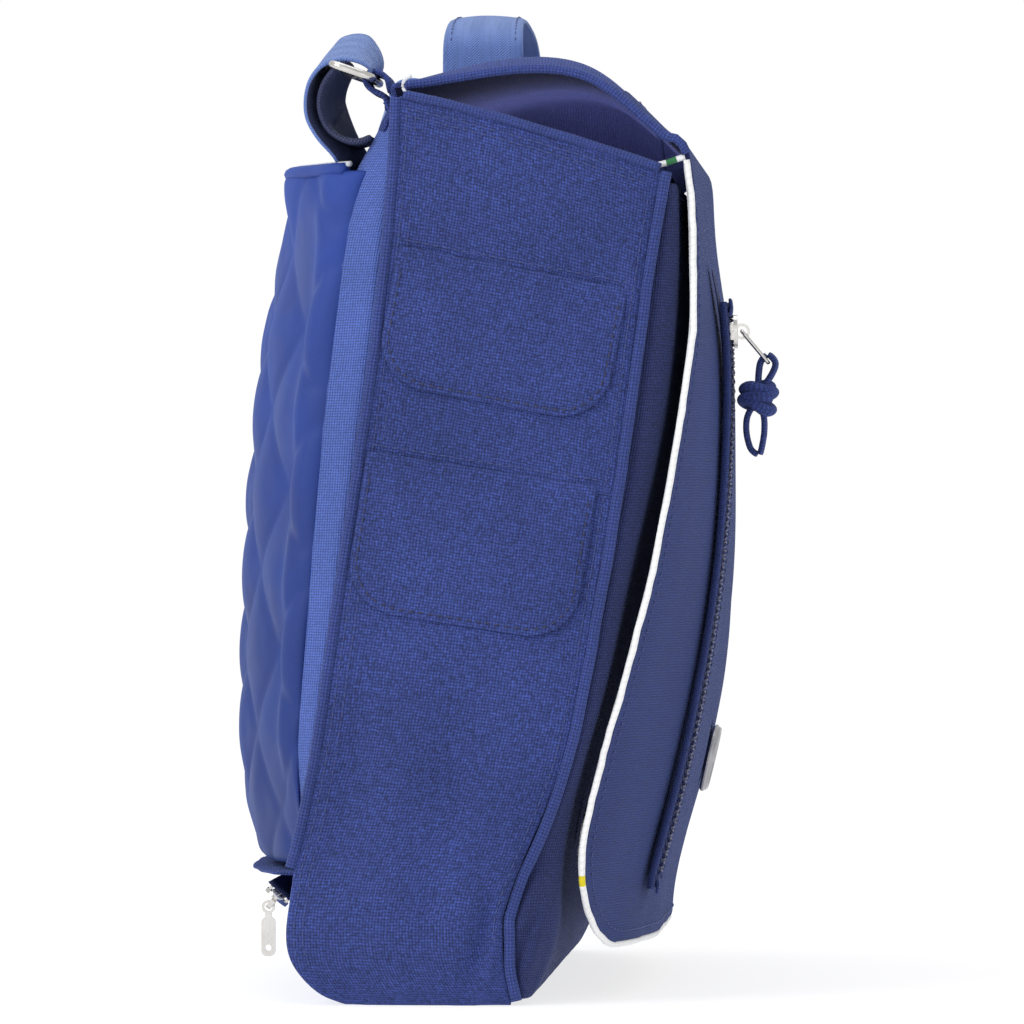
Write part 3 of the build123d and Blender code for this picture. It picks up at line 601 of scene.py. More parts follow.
def metal(name, colour, roughness=0.18, brushed=False):
    """Plated metal: fine scratches, and a duller film in patches."""
    shader = Shader(name, roughness, metallic=1.0)
    place = shader.place()
    if brushed:
        stretch = shader.tree.nodes.new("ShaderNodeMapping")
        stretch.inputs["Scale"].default_value = (0.05, 3.0, 3.0)
        shader.feed(stretch.inputs["Vector"], place)
        place = stretch.outputs[0]
    scratch = shader.noise(place, 1.2, 6)
    film = shader.noise(shader.place(), 0.12, 3)
    scratched = shader.span(scratch, 0.35, 0.7, -0.06, 0.1)
    dull = shader.plus(scratched, shader.vary(film, roughness, roughness + 0.1))
    shader.paint(colour, shader.vary(film, 0.85, 1.05), Roughness=dull)
    shader.bump(scratch, 0.02)
    return shader.material


def plastic(name, colour, roughness=0.4):
    """Moulded nylon or board: a slight orange-peel surface and faint dust."""
    shader = Shader(name, roughness)
    grain = shader.noise(shader.place(), 1.8, 4)
    dust = shader.noise(shader.place(), 0.08, 4)
    rough = shader.vary(grain, roughness - 0.08, roughness + 0.12)
    shader.paint(colour, shader.vary(dust, 0.85, 1.2), Roughness=rough)
    shader.bump(grain, 0.05)
    return shader.material


CANVAS = woven("canvas", (52, 66, 128), pitch=1.1, fleck=0.44, wander=0.7)
FLAP_CANVAS = woven("flap_canvas", (42, 55, 110), pitch=0.95, fleck=0.26, wander=0.5)
# the front pocket's canvas, painted darker than the gussets' as painted shade under the flap
PAINTED_SHADE_POCKET_CANVAS = woven("front_pocket_canvas_painted_shade", (44, 52, 98), pitch=1.0, fleck=0.28, sheen=0.15, wander=0.6)
# the body's canvas, painted lighter than the gussets' as painted light falling on the back panel's rounded
# edges
PAINTED_LIGHT_BAND_CANVAS = woven("band_canvas_painted_light", (80, 102, 176), pitch=0.95, fleck=0.16, sheen=0.5)
# the inside of the roof and flap: the same canvas, painted lighter than its own colour as painted light for
# the light that barely reaches under the roof
PAINTED_LIGHT_INNER_CANVAS = woven("flap_inner_canvas_painted_light", (84, 90, 158), pitch=1.05, fleck=0.3, sheen=0.1, wander=0.6)
CORD = woven("seam_cord", (54, 68, 130), pitch=1.2, fleck=0.2)
QUILT = satin("quilted_microfibre", (38, 64, 142))
WEBBING = twill("webbing", (96, 122, 186))
# the webbing painted dark, as painted shade on the strap's inner face inside its roll
STRAP_BACK_PAINTED_SHADE = twill("strap_back_painted_shade", (48, 52, 86), sheen=0.1)
LINING = plain("lining_cloth", (232, 234, 236), dots=True)
POCKET_CLOTH = plain("pocket_cloth", (214, 217, 222))
ELASTIC = ribbed("elastic", (70, 78, 100), pitch=1.1)
PIPING = ribbed("piping", (245, 245, 246), pitch=2.6, depth=0.16,
                marks=((258.0, 2.0, (232, 214, 40)),))
LINING_EDGE = ribbed("lining_edge", (236, 238, 240), pitch=2.2, depth=0.1, marks=((4.6, 1.9, (52, 120, 74)),))
THREAD = thread("thread", (58, 72, 134))
DARK_THREAD = thread("dark_thread", (38, 44, 84))
ZIP_TAPE = woven("zip_tape", (34, 40, 78), pitch=0.7, fleck=0.3, depth=0.15)
FLAP_COIL = plastic("flap_coil", (84, 88, 118))
REAR_COIL = plastic("rear_coil", (196, 198, 204))
BOARD = plastic("board", (70, 72, 76), roughness=0.7)
NICKEL = metal("nickel", (214, 212, 208))
BADGE = metal("badge_metal", (176, 176, 180), roughness=0.28, brushed=True)


# ---------------------------------------------------------------- side gussets
GUSSET = Probe("side_gusset_left")
gusset_low, gusset_high = size("side_gusset_left")
GUSSET_X = -gusset_low.x
GUSSET_MID = (gusset_low.x + gusset_high.x) / 2
GUSSET_TOP = gusset_high.z - 0.5
FRONT_Y = gusset_low.y + 0.3
FRONT_TOP = GUSSET.top(GUSSET_MID, FRONT_Y) - 0.5
TOP_BACK_Y = GUSSET.back(GUSSET_MID, GUSSET_TOP)


def heel_bulge(z):
    """The cloth sags out at the foot of the back."""
    return 5.5 * bell(z - 13, 14)


def band_bulge(x, z):
    """The back panel's two edges belly out beside the quilting."""
    return 7.5 * bell(abs(x) - 176, 9) * smooth((z - 56) / 40) * smooth((313 - z) / 40)


def gusset_back(z):
    """Depth of the gusset's back seam at a height."""
    return GUSSET.back(GUSSET_MID, clamp(z, 0.6, GUSSET_TOP)) + heel_bulge(z)


def gusset_front(z):
    """Depth of the gusset's front seam at a height."""
    return GUSSET.front(GUSSET_MID, clamp(z, 0.6, FRONT_TOP))


# Folds in the gusset's cloth: two ends as (Y, Z), width, and height (negative for a crease)
FOLDS = [((8, 4), (-4, 46), 3.6, -2.6), ((2, 2), (-9, 66), 4.0, 2.2), ((18, 2), (2, 70), 7.0, 1.8),
         ((26, 311), (4, 303), 2.6, -1.0), ((22, 314), (10, 309), 2.0, 1.0),
         ((30, 306), (22, 262), 4.0, -0.9), ((36, 250), (43, 176), 5.0, -0.7),
         ((40, 130), (57, 40), 6.0, -1.4), ((28, 120), (36, 20), 9.0, 1.5),
         ((-40, 200), (-30, 110), 5.0, -0.9), ((12, 118), (6, 30), 8.0, -1.2),
         ((-52, 282), (-46, 215), 4.0, 0.8)]


def fold_height(y, z):
    """Sum of the folds at a place on the gusset; each fades out towards its ends."""
    total = 0.0
    for (y0, z0), (y1, z1), width, height in FOLDS:
        along = Vector((y1 - y0, z1 - z0))
        t = Vector((y - y0, z - z0)).dot(along) / along.length_squared
        nearest = clamp(t, 0.0, 1.0)
        away = Vector((y - y0 - along.x * nearest, z - z0 - along.y * nearest)).length
        total += height * bell(away, width) * math.sin(math.pi * clamp(t, 0.08, 0.92))
    return total


def gusset_out(y, z, side=-1):
    """How far the gusset's cloth stands out from its flat."""
    back, front = gusset_back(z), gusset_front(z)
    share = clamp((back - y) / (back - front), 0.0, 1.0)
    inner = smooth(min(share, 1 - share) / 0.2)
    belly = 5.0 * smooth((150 - z) / 110) * math.sin(math.pi * share) * smooth(z / 26)
    loose = 1.1 * rumple((side * 3, y, z * 0.6), 34, 2) + 0.35 * rumple((side, y, z), 9, 5)
    pucker = 0.25 * math.sin(z * 1.1) * bell(min(share, 1 - share) * (back - front) - 5, 4)
    tuck = -0.3 * bell(min(share, 1 - share) * (back - front), 3.0)
    near_seam = smooth(min(share, 1 - share) / 0.05)
    return belly + inner * loose + near_seam * 1.5 * fold_height(y, z) + pucker + tuck


def gusset_spot(s, t):
    """(Y, Z) on the gusset: s from the back seam to the front seam, t from the ground to the top."""
    y = lerp(gusset_back(GUSSET_TOP * t), gusset_front(FRONT_TOP * t), s)
    top = GUSSET.top(GUSSET_MID, lerp(TOP_BACK_Y - 0.3, FRONT_Y, s)) - 0.5
    return y, max(0.0, top * t)


GUSSET_ROWS, GUSSET_COLUMNS = 92, 44
gusset_pieces = {}
for side, sign in SIDES.items():
    rows = []
    for i in range(GUSSET_ROWS + 1):
        spots = [gusset_spot(s, (i / GUSSET_ROWS) ** 1.25) for s in steps(0, 1, GUSSET_COLUMNS + 1)]
        rows.append([(sign * (GUSSET_X + gusset_out(y, z, sign)), y, z) for y, z in spots])
    gusset = sheet(f"gusset_{side}", rows, CANVAS, thickness=2.4)
    gusset_pieces[side] = dress(gusset, f"side_gusset_{side}")


def gusset_line(side, spots):
    """A line of (Y, Z) spots laid on one gusset's cloth."""
    sign = SIDES[side]
    return drape(gusset_pieces[side], [(sign * FAR, y, z) for y, z in spots], -RIGHT * sign)


# Stitching down both seams and under the top edge, and the corded seams themselves
BACK_CORDS, FRONT_CORDS = Probe("back_seam_cords"), Probe("front_seam_cords")
cord_low, cord_high = size("back_seam_cords")
CORD_R = 2.0
CORD_X = cord_high.x - CORD_R + 1.0
front_cord_low, front_cord_high = size("front_seam_cords")
for side, sign in SIDES.items():
    lines = []
    for inset in (3.2, 6.4):
        lines.append([(gusset_back(z) - inset, z) for z in steps(14, GUSSET_TOP - 6, 120)])
    lines.append([(gusset_front(z) + 3.4, z) for z in steps(22, FRONT_TOP - 6, 120)])
    lines += [[gusset_spot(s, 1 - drop / GUSSET_TOP) for s in steps(0.03, 0.97, 60)] for drop in (4.2, 6.8)]
    threads = [stitches(f"stitch_{side}_{n}", gusset_line(side, line), THREAD)
               for n, line in enumerate(lines)]
    dress(merge(f"gusset_stitching_{side}", threads))
    path = []
    for z in steps(cord_low.z + 2.5, GUSSET_TOP - 1, 110):
        level = min(z, cord_high.z - 1)
        slip = gusset_back(z) - gusset_back(level) + heel_bulge(level)
        y = BACK_CORDS.back(sign * CORD_X, level) + slip - CORD_R - 0.4 + 0.3 * rumple((sign, 0, z), 16)
        path.append((sign * CORD_X, y, z))
    back_cord = tube(f"back_cord_{side}", path, CORD_R, CORD, up=RIGHT)
    dress(back_cord, "back_seam_cords")
    path = []
    for z in steps(1.6, front_cord_high.z - 1, 100):
        level = max(z, front_cord_low.z + 2.5)
        slip = gusset_front(z) - gusset_front(level)
        y = FRONT_CORDS.front(sign * CORD_X, level) + slip + CORD_R + 0.3 * rumple((sign, 9, z), 16)
        path.append((sign * CORD_X, y, z))
    front_cord = tube(f"front_cord_{side}", path, CORD_R, CORD, up=RIGHT)
    dress(front_cord, "front_seam_cords")


# ---------------------------------------------------------------- pocket flaps on the gussets
JOINTS = {joint["name"]: joint for joint in frame["joints"]}


def joint_point(name):
    return Vector(JOINTS[name]["pos_m"]) / MM


def extent(node, way):
    """How far a CAD node reaches along a direction, as (least, most)."""
    reach = [vertex.co.dot(way) / MM for vertex in frame["nodes"][node].data.vertices]
    return min(reach), max(reach)


POCKET_CORNER, POCKET_HEM = 18.0, 2.4
for side, sign in SIDES.items():
    for pocket in ("upper", "lower"):
        node, hinge = f"pocket_flap_{pocket}_{side}", joint_point(f"pocket_flap_{pocket}_{side}_lift")
        along = Vector(JOINTS[f"pocket_flap_{pocket}_{side}_lift"]["axis"]) * -sign
        down = Vector((0, along.z, -along.y)) * (1 if along.y > 0 else -1)
        width = extent(node, along)[1] - extent(node, along)[0]
        height = extent(node, down)[1] - hinge.dot(down)

        def pocket_row(v):
            """One row of the flap at a distance v below its top, narrowed by the round corners."""
            deep = max(0.0, v - (height - POCKET_CORNER))
            half = width / 2 - POCKET_CORNER + math.sqrt(max(0.0, POCKET_CORNER**2 - deep**2))
            row = []
            for u in steps(-half, half, 39):
                spot = hinge + along * u + down * v
                edge = min(half - abs(u), height - v)
                hem = 0.5 * bell(edge - 1.2, 1.1) - 0.45 * bell(edge - POCKET_HEM - 0.4, 0.7)
                puff = 1.3 * smooth(edge / 14) * smooth(v / 10)
                lift = 1.4 + hem + puff + 0.3 * rumple((sign * 5, spot.y, spot.z), 15, 3)
                settle = smooth(v / 8)
                out = lerp(hinge.x * sign, GUSSET_X + gusset_out(spot.y, spot.z, sign) + lift, settle)
                row.append((sign * max(out, GUSSET_X + 0.6), spot.y, spot.z))
            return row

        rows = [pocket_row(v) for v in steps(-0.8, height - 0.2, 30)]
        flaplet = sheet(f"pocket_flap_{pocket}_{side}_cloth", rows, CANVAS, thickness=1.5)
        dress(flaplet, node, body=node)
        reach, depth, turn = width / 2 - POCKET_HEM, height - POCKET_HEM, POCKET_CORNER - POCKET_HEM
        hem_plan = [(-reach, v) for v in steps(5, depth - turn, 20)]
        hem_plan += [(-reach + turn * (1 - math.cos(a)), depth - turn * (1 - math.sin(a)))
                     for a in steps(0.1, math.pi / 2, 12)]
        hem_plan += [(u, depth) for u in steps(turn - reach + 1, 0, 16)]
        hem_plan += [(-u, v) for u, v in hem_plan[-2::-1]]
        hem_line = [hinge + along * u + down * v for u, v in hem_plan]
        sew(f"pocket_{pocket}_{side}_hem_stitching", flaplet, [(sign * FAR, p.y, p.z) for p in hem_line],
            -RIGHT * sign, DARK_THREAD, radius=0.36, body=node)
        over = [(hinge + along * u - down * 3.0) for u in steps(-width / 2, width / 2, 60)]
        line = gusset_line(side, [(p.y, p.z) for p in over])
        dress(stitches(f"pocket_{pocket}_{side}_stitching", line, THREAD))


# ---------------------------------------------------------------- body between the gussets
SHELL = Probe("base_panel", "front_panel", "heel_panel", "back_panel")
shell_high = size("back_panel")[1]
WALL_X = shell_high.x
BACK_TOP = shell_high.z - 0.4
FRONT_PANEL_TOP = size("front_panel")[1].z - 0.4
HEEL_TOP = 53
HEEL_HEIGHTS = [48, 42, 36, 30, 24, 18, 12, 7, 3]
SHELL_X = [-WALL_X, 2 - WALL_X, 4 - WALL_X, 6.6 - WALL_X, 12 - WALL_X] + steps(25 - WALL_X, WALL_X - 25, 30)
SHELL_X += [WALL_X - 12, WALL_X - 6.6, WALL_X - 4, WALL_X - 2, WALL_X]


def shell_rows():
    """Rows across the bag from the top of its back, down, under the base and up its front."""
    rows = []
    inner = WALL_X - 0.3
    for z in steps(BACK_TOP, HEEL_TOP, 40) + HEEL_HEIGHTS:
        rows.append([(x, SHELL.back(clamp(x, -inner, inner), z) + heel_bulge(z) + band_bulge(x, z)
                      + 0.6 * rumple((x, 0, z), 30, 4), z)
                     for x in SHELL_X])
    for y in steps(36, -6, 7):
        rows.append([(x, y, 0.2) for x in SHELL_X])
    for z in [3, 7] + steps(12, FRONT_PANEL_TOP, 36):
        rows.append([(x, SHELL.front(clamp(x, -inner, inner), z) + 0.5 * rumple((x, 50, z), 30, 4), z)
                     for x in SHELL_X])
    return rows


# the body's cloth is the canvas painted lighter, as painted light
shell = sheet("body_cloth", shell_rows(), PAINTED_LIGHT_BAND_CANVAS, thickness=2.2)
dress(shell, "base_panel", "front_panel", "heel_panel", "back_panel")

# Lining: a loose tub inside the body
LINING_PROBE = Probe("lining")
lining_high = size("lining")[1]
LINING_BACK_TOP = 306.0
LINING_FRONT_TOP = 276.0


def ring(half, back, front, radius, count=26):
    """Closed plan outline with round corners, as (X, share from back to front)."""
    deep = abs(back - front)
    turn = radius / deep
    runs = [((half, turn), (half, 1 - turn)), ((half - radius, 1), (radius - half, 1)),
            ((-half, 1 - turn), (-half, turn)), ((radius - half, 0), (half - radius, 0))]
    outline = []
    for (x0, s0), (x1, s1) in runs:
        outline += [(lerp(x0, x1, t), lerp(s0, s1, t)) for t in steps(0, 1, count if s0 == s1 else 8)]
    return outline


rows = []
for t in steps(0.995, 0.045, 34):
    back_z, front_z = LINING_BACK_TOP * t, LINING_FRONT_TOP * t
    back_y, front_y = LINING_PROBE.back(0, back_z), LINING_PROBE.front(0, front_z)
    row = []
    for x, s in ring(lining_high.x, back_y, front_y, 9):
        spot = Vector((x, lerp(back_y, front_y, s), lerp(back_z, front_z, s)))
        slack = 0.7 * rumple(spot, 24, 6)
        row.append(spot + Vector((-slack * x / lining_high.x, slack if s > 0.5 else -slack, 0)))
    rows.append(row)
middle = sum(rows[-1], Vector()) / len(rows[-1])
rows += [[middle.lerp(p, share) - UP * 2 * (1 - share) for p in rows[-1]] for share in (0.8, 0.45, 0.04)]
lining = sheet("lining_cloth", rows, LINING, thickness=0.6, flip=True, closed=True)
dress(lining, "lining", slot="lining_white")

# Inner pocket: its mouth is gathered by an elastic
INNER = Probe("inner_pocket")
inner_low, inner_high = size("inner_pocket")
elastic_low, elastic_high = size("inner_pocket_elastic")
rows = []
for z in steps(inner_high.z - 0.5, inner_low.z + 0.5, 24):
    gather = smooth((z - inner_low.z - 50) / 60)
    row = []
    for x in steps(inner_low.x, inner_high.x, 150):
        pleat = 1 + math.sin(x / 3.1 + 0.8 * rumple((x, 0, z), 20))
        row.append((x, INNER.front(0, z) - 1.2 * gather * pleat, z))
    rows.append(row)
dress(sheet("inner_pocket_cloth", rows, POCKET_CLOTH, thickness=0.8), "inner_pocket", slot="lining_white")
elastic_y, elastic_z = (elastic_low.y + elastic_high.y) / 2, (elastic_low.z + elastic_high.z) / 2
path = [(x, elastic_y + 0.25 * math.sin(x / 1.6), elastic_z)
        for x in steps(elastic_low.x, elastic_high.x, 240)]
elastic = tube("inner_pocket_elastic_band", path, 2.8, ELASTIC, flat=0.45, up=BACK)
dress(elastic, "inner_pocket_elastic", slot="elastic")

# Mouth binding: a folded strip over the gussets' top edges and the front panel's
for side, sign in SIDES.items():
    path = []
    for s in steps(0.02, 0.99, 50):
        y, z = gusset_spot(s, 1.0)
        path.append((sign * (GUSSET_X - 0.9), y, z + 0.7 + 0.25 * rumple((sign, y, z), 12)))
    binding = tube(f"mouth_binding_{side}", path, 2.3, CORD, flat=0.72)
    dress(binding, "mouth_binding")
FRONT_BINDING_Z = FRONT_PANEL_TOP + 3
path = [(x, SHELL.front(0, FRONT_PANEL_TOP - 1) + 1.0, FRONT_BINDING_Z + 0.4 * rumple((x, 0, 0), 25))
        for x in steps(-lining_high.x, lining_high.x, 80)]
dress(tube("mouth_binding_front", path, 2.6, CORD, flat=0.6), "mouth_binding")


# ---------------------------------------------------------------- front pocket
POCKET = Probe("front_pocket")
pocket_low, pocket_high = size("front_pocket")
POCKET_X = pocket_high.x
POCKET_TURN = 9.0
FLAP_X = size("flap_roof")[1].x


def corner_slack(x, z):
    """How far the slack top corner of the flap, and the pocket's behind it, sinks back."""
    return 8.0 * smooth((x - FLAP_X + 90) / 90) * smooth((z - 215) / 70)


def front_pocket_row(z):
    """Plan of the pocket at a height: from one side seam, round the front, to the other."""
    seam, face = POCKET.back(0.5 - POCKET_X, z), POCKET.front(0.5 - POCKET_X, z)
    turn = min(POCKET_TURN, (seam - face) * 0.7)
    side = [(-POCKET_X, y) for y in steps(seam, face + turn, 15)[:-1]]
    side += [(-POCKET_X + turn * (1 - math.cos(a)), face + turn * (1 - math.sin(a)))
             for a in steps(0, math.pi / 2, 6)]
    plan = side + [(x, face) for x in steps(turn + 8 - POCKET_X, POCKET_X - turn - 8, 30)]
    plan += [(-x, y) for x, y in side[::-1]]
    row = []
    for x, y in plan:
        loose = rumple((x, y, z * 0.5), 26, 8)
        wall = abs(x) > POCKET_X - 1
        pleat = 1.2 * bell(y - lerp(seam, face, 0.55) + 2 * rumple((0, 0, z), 40), 2.2) if wall else 0.0
        if wall and z < 120:  # the cloth bunches up towards the foot of the pocket
            bunch = smooth((120 - z) / 60) * smooth(min(seam - y, y - face + 4) / 5)
            pleat -= bunch * 3.4 * math.sin((y * 0.9 + z * 0.5) / 3.0) * bell(z - 36, 38)
        push = 0.6 * loose - pleat
        back_off = corner_slack(x, z) * smooth((seam - y) / 12)
        if wall:
            row.append((x + math.copysign(push, x), y + back_off, z))
        else:
            row.append((x, y + back_off - push * 0.5, z))
    return row


rows = [front_pocket_row(z) for z in steps(pocket_high.z - 0.6, pocket_low.z + 0.4, 64)]
# the pocket's cloth is the canvas painted darker, as painted shade under the flap
front_pocket = sheet("front_pocket_cloth", rows, PAINTED_SHADE_POCKET_CANVAS, thickness=1.7, inside=Vector((0, 60, 160)))
dress(front_pocket, "front_pocket")
spots = [(x, -FAR, pocket_high.z - 5) for x in steps(-170, 170, 160)]
sew("front_pocket_stitching", front_pocket, spots, BACK)


# ---------------------------------------------------------------- quilted rear pocket
QUILT_PROBE = Probe("quilted_panel")
quilt_low, quilt_high = size("quilted_panel")
QUILT_X = quilt_high.x
QUILT_TOP, QUILT_FOOT = quilt_high.z - 0.4, quilt_low.z + 1.2
DIAMOND_HEIGHT = 57.0
DIAMOND_NODE_Z = 238.0  # height of one row of crossings
EDGE_TO_NODE = 27.0  # cloth from the side seam to the first crossings
CELLS = 12  # grid steps along half a diamond
QUILT_PUFF_CAP = 6.0
QUILT_DEPTH = 6.6  # how far the sewn lines lie inside the padding's outermost shape
HAND_SHARE = 0.55  # of the padding's height that comes from the formula, the rest from the simulation
EDGE_TUCK = 9.0  # width of cloth beside a side seam that is drawn in to the bag's back


def quilt_reach():
    """Cloth length across the bag from the left seam, at evenly spaced X."""
    xs = steps(0.5 - QUILT_X, QUILT_X - 0.5, 400)
    middle = (QUILT_TOP + QUILT_FOOT) / 2
    spots = [Vector((x, QUILT_PROBE.back(x, middle), 0)) for x in xs]
    reach = [0.0]
    for a, b in zip(spots, spots[1:]):
        reach.append(reach[-1] + (b - a).length)
    return xs, reach


quilt_xs, quilt_lengths = quilt_reach()
QUILT_LENGTH = quilt_lengths[-1]
DIAMONDS_ACROSS = 5
DIAMOND_WIDTH = (QUILT_LENGTH - 2 * EDGE_TO_NODE) / DIAMONDS_ACROSS


def quilt_x(length):
    """X at a length of cloth from the left seam."""
    for a, b, x0, x1 in zip(quilt_lengths, quilt_lengths[1:], quilt_xs, quilt_xs[1:]):
        if length <= b:
            return lerp(x0, x1, (length - a) / (b - a))
    return quilt_xs[-1]


def quilt_face(x, z):
    """Depth of the quilting's sewn lines; the top corners are pushed out by the strap behind them."""
    pushed = 11 * bell(z - 298, 24) * bell(abs(x) - 146, 42)
    inset = QUILT_DEPTH + 2 * smooth((z - 220) / 60) + 2 * smooth((120 - z) / 60)
    return QUILT_PROBE.back(x, z) - inset + pushed + 0.8 * band_bulge(x, z)


def quilt_cells(first, last, unit, origin):
    """Grid lines from first to last that meet the diamonds' corners, with the two ends added."""
    pitch = unit / (2 * CELLS)
    count = math.ceil((first - origin) / pitch)
    lines = [first]
    while origin + count * pitch < last - 0.3 * pitch:
        if origin + count * pitch > first + 0.3 * pitch:
            lines.append(origin + count * pitch)
        count += 1
    return lines + [last]


def seam_distance(u, v):
    """Distance from a quilting line in shares of a diamond; u and v count diamonds."""
    return min(abs((u + v + 0.5) % 1 - 0.5), abs((u - v + 0.5) % 1 - 0.5))


lengths = quilt_cells(0.0, QUILT_LENGTH, DIAMOND_WIDTH, EDGE_TO_NODE)
heights = quilt_cells(QUILT_FOOT, QUILT_TOP, DIAMOND_HEIGHT, DIAMOND_NODE_Z)[::-1]
columns = [quilt_x(length) for length in lengths]
rows = [[(x, quilt_face(x, z), z) for x in columns] for z in heights]
quilt = sheet("quilted_pocket", rows, QUILT, level=0)
quilt_rest = [vertex.co.copy() for vertex in quilt.data.vertices]
pinned = quilt.vertex_groups.new(name="sewn")
sewn = set()
for i, z in enumerate(heights):
    for j, length in enumerate(lengths):
        u, v = (length - EDGE_TO_NODE) / DIAMOND_WIDTH, (z - DIAMOND_NODE_Z) / DIAMOND_HEIGHT
        on_edge = i in (0, len(heights) - 1) or j in (0, len(lengths) - 1)
        if on_edge or seam_distance(u, v) < 0.3 / CELLS:
            sewn.add(i * len(lengths) + j)
pinned.add(sorted(sewn), 1.0, "REPLACE")


def puff(piece, frames, pressure, shrink):
    """Swells a sheet between its sewn lines by a cloth simulation, and applies the result."""
    cloth = piece.modifiers.new("puff", "CLOTH")
    settings = cloth.settings
    settings.vertex_group_mass = "sewn"
    settings.quality = 8
    settings.mass = 0.2
    settings.use_pressure = True
    settings.uniform_pressure_force = pressure
    settings.effector_weights.gravity = 0
    settings.tension_stiffness = settings.compression_stiffness = 18
    settings.bending_stiffness = 0.4
    settings.shrink_min = shrink
    cloth.point_cache.frame_start, cloth.point_cache.frame_end = 1, frames
    for step in range(1, frames + 1):
        bpy.context.scene.frame_set(step)
    bpy.context.view_layer.objects.active = piece
    piece.select_set(True)
    bpy.ops.object.modifier_apply(modifier=cloth.name)
    bpy.context.scene.frame_set(1)


def hand_puff(u, v):
    """Height of the padding in the middle of each diamond, in millimetres."""
    along, slant = abs(math.sin(math.pi * (u + v))), abs(math.sin(math.pi * (u - v)))
    return 5.6 * (along * slant) ** 0.42


puff(quilt, frames=20, pressure=6.0, shrink=-0.06)
outwards = [Vector((rest.x * 0.9, 0.12, 0)).normalized() for rest in quilt_rest]
blown = [clamp((vertex.co - rest).dot(out) / MM, 0.0, QUILT_PUFF_CAP)
         for vertex, rest, out in zip(quilt.data.vertices, quilt_rest, outwards)]
for _ in range(3):  # even out the simulation's fine ripples between the sewn lines
    for index in range(len(lengths) + 1, len(blown) - len(lengths) - 1):
        if index not in sewn:
            around = sum(blown[index + step] for step in (-1, 1, -len(lengths), len(lengths)))
            blown[index] = lerp(blown[index], around / 4, 0.6)
for index, vertex in enumerate(quilt.data.vertices):
    i, j = divmod(index, len(lengths))
    u, v = (lengths[j] - EDGE_TO_NODE) / DIAMOND_WIDTH, (heights[i] - DIAMOND_NODE_Z) / DIAMOND_HEIGHT
    rest = quilt_rest[index]
    swell = lerp(blown[index], hand_puff(u, v), HAND_SHARE)
    vertex.co = rest + outwards[index] * (0.0 if index in sewn else swell) * MM
    edge = min(lengths[j], QUILT_LENGTH - lengths[j])
    tuck = smooth(1 - edge / EDGE_TUCK)
    x, z = rest.x / MM, rest.z / MM
    wall_x = clamp(x, 2 - WALL_X, WALL_X - 2)
    wall_y = SHELL.back(wall_x, max(z, HEEL_TOP)) + band_bulge(x, z)
    tucked = Vector((vertex.co.x, (wall_y + 0.8) * MM, vertex.co.z))
    vertex.co = vertex.co.lerp(tucked, tuck)
modifier = quilt.modifiers.new("thickness", "SOLIDIFY")
modifier.thickness, modifier.offset = 2.0 * MM, -1
subdivide(quilt, 1)
dress(quilt, "quilted_panel", slot="quilted_satin")


def quilt_rim(out, z):
    """The quilted panel's top edge as a path across the bag, moved out from its face."""
    return [(x, quilt_face(x, QUILT_TOP) + 0.8 + out, z) for x in steps(3 - QUILT_X, QUILT_X - 3, 90)]


binding = tube("rear_pocket_binding_strip", quilt_rim(-0.6, QUILT_TOP + 0.2), 2.7, QUILT, flat=0.85)
dress(binding, "rear_pocket_binding", slot="quilted_satin")
edging = tube("rear_pocket_lining_edge", quilt_rim(-2.6, QUILT_TOP + 2.0), 1.0, POCKET_CLOTH)
dress(edging, slot="lining_white")

# Floor of the rear pocket, and the zip along it
foot_low, foot_high = size("rear_pocket_foot")
FOOT = Probe("rear_pocket_foot")
foot_z = (foot_low.z + foot_high.z) / 2
rows = []
for x in steps(1 - QUILT_X, QUILT_X - 1, 60):
    rows.append([(x, y, foot_high.z - 0.4 + 0.5 * rumple((x, y, 0), 15))
                 for y in steps(FOOT.front(x, foot_z) - 6, FOOT.back(x, foot_z), 5)])
floor_cloth = sheet("rear_pocket_floor", rows, CANVAS, thickness=1.2, inside=Vector((0, 90, 200)))
dress(floor_cloth, "rear_pocket_foot")


COIL_RINGS = 6  # rings along a loop of a zip's coil, and sides round it


def coil(name, path, normals, material, width, pitch=1.5, radius=0.42):
    """A zip's coil: short loops that lie across the path, from either side in turn."""
    points, faces, uvs = [], [], []
    spots = even(path, pitch)
    for k, (a, b) in enumerate(zip(spots, spots[1:])):
        normal = normals[min(len(normals) - 1, int(k / len(spots) * len(normals)))]
        along = (b - a).normalized()
        side = along.cross(normal).normalized() * (1 if k % 2 else -1)
        first = len(points)
        for t in steps(0, 1, COIL_RINGS):
            reach = lerp(-width * 0.12, width * 0.5, t)
            centre = a + side * reach + normal * 0.7 * math.sin(math.pi * t) + along * (t - 0.5) * pitch * 0.5
            thick = radius * (1.0 if t < 1 else 0.7)
            add_ring(points, uvs, centre, along, normal, thick, COIL_RINGS, t * width)
        faces += quads(COIL_RINGS, COIL_RINGS, first, wrap=True)
        faces += [tuple(range(first, first + COIL_RINGS)),
                  tuple(range(len(points) - COIL_RINGS, len(points)))[::-1]]
    return make(name, points, faces, uvs, material)


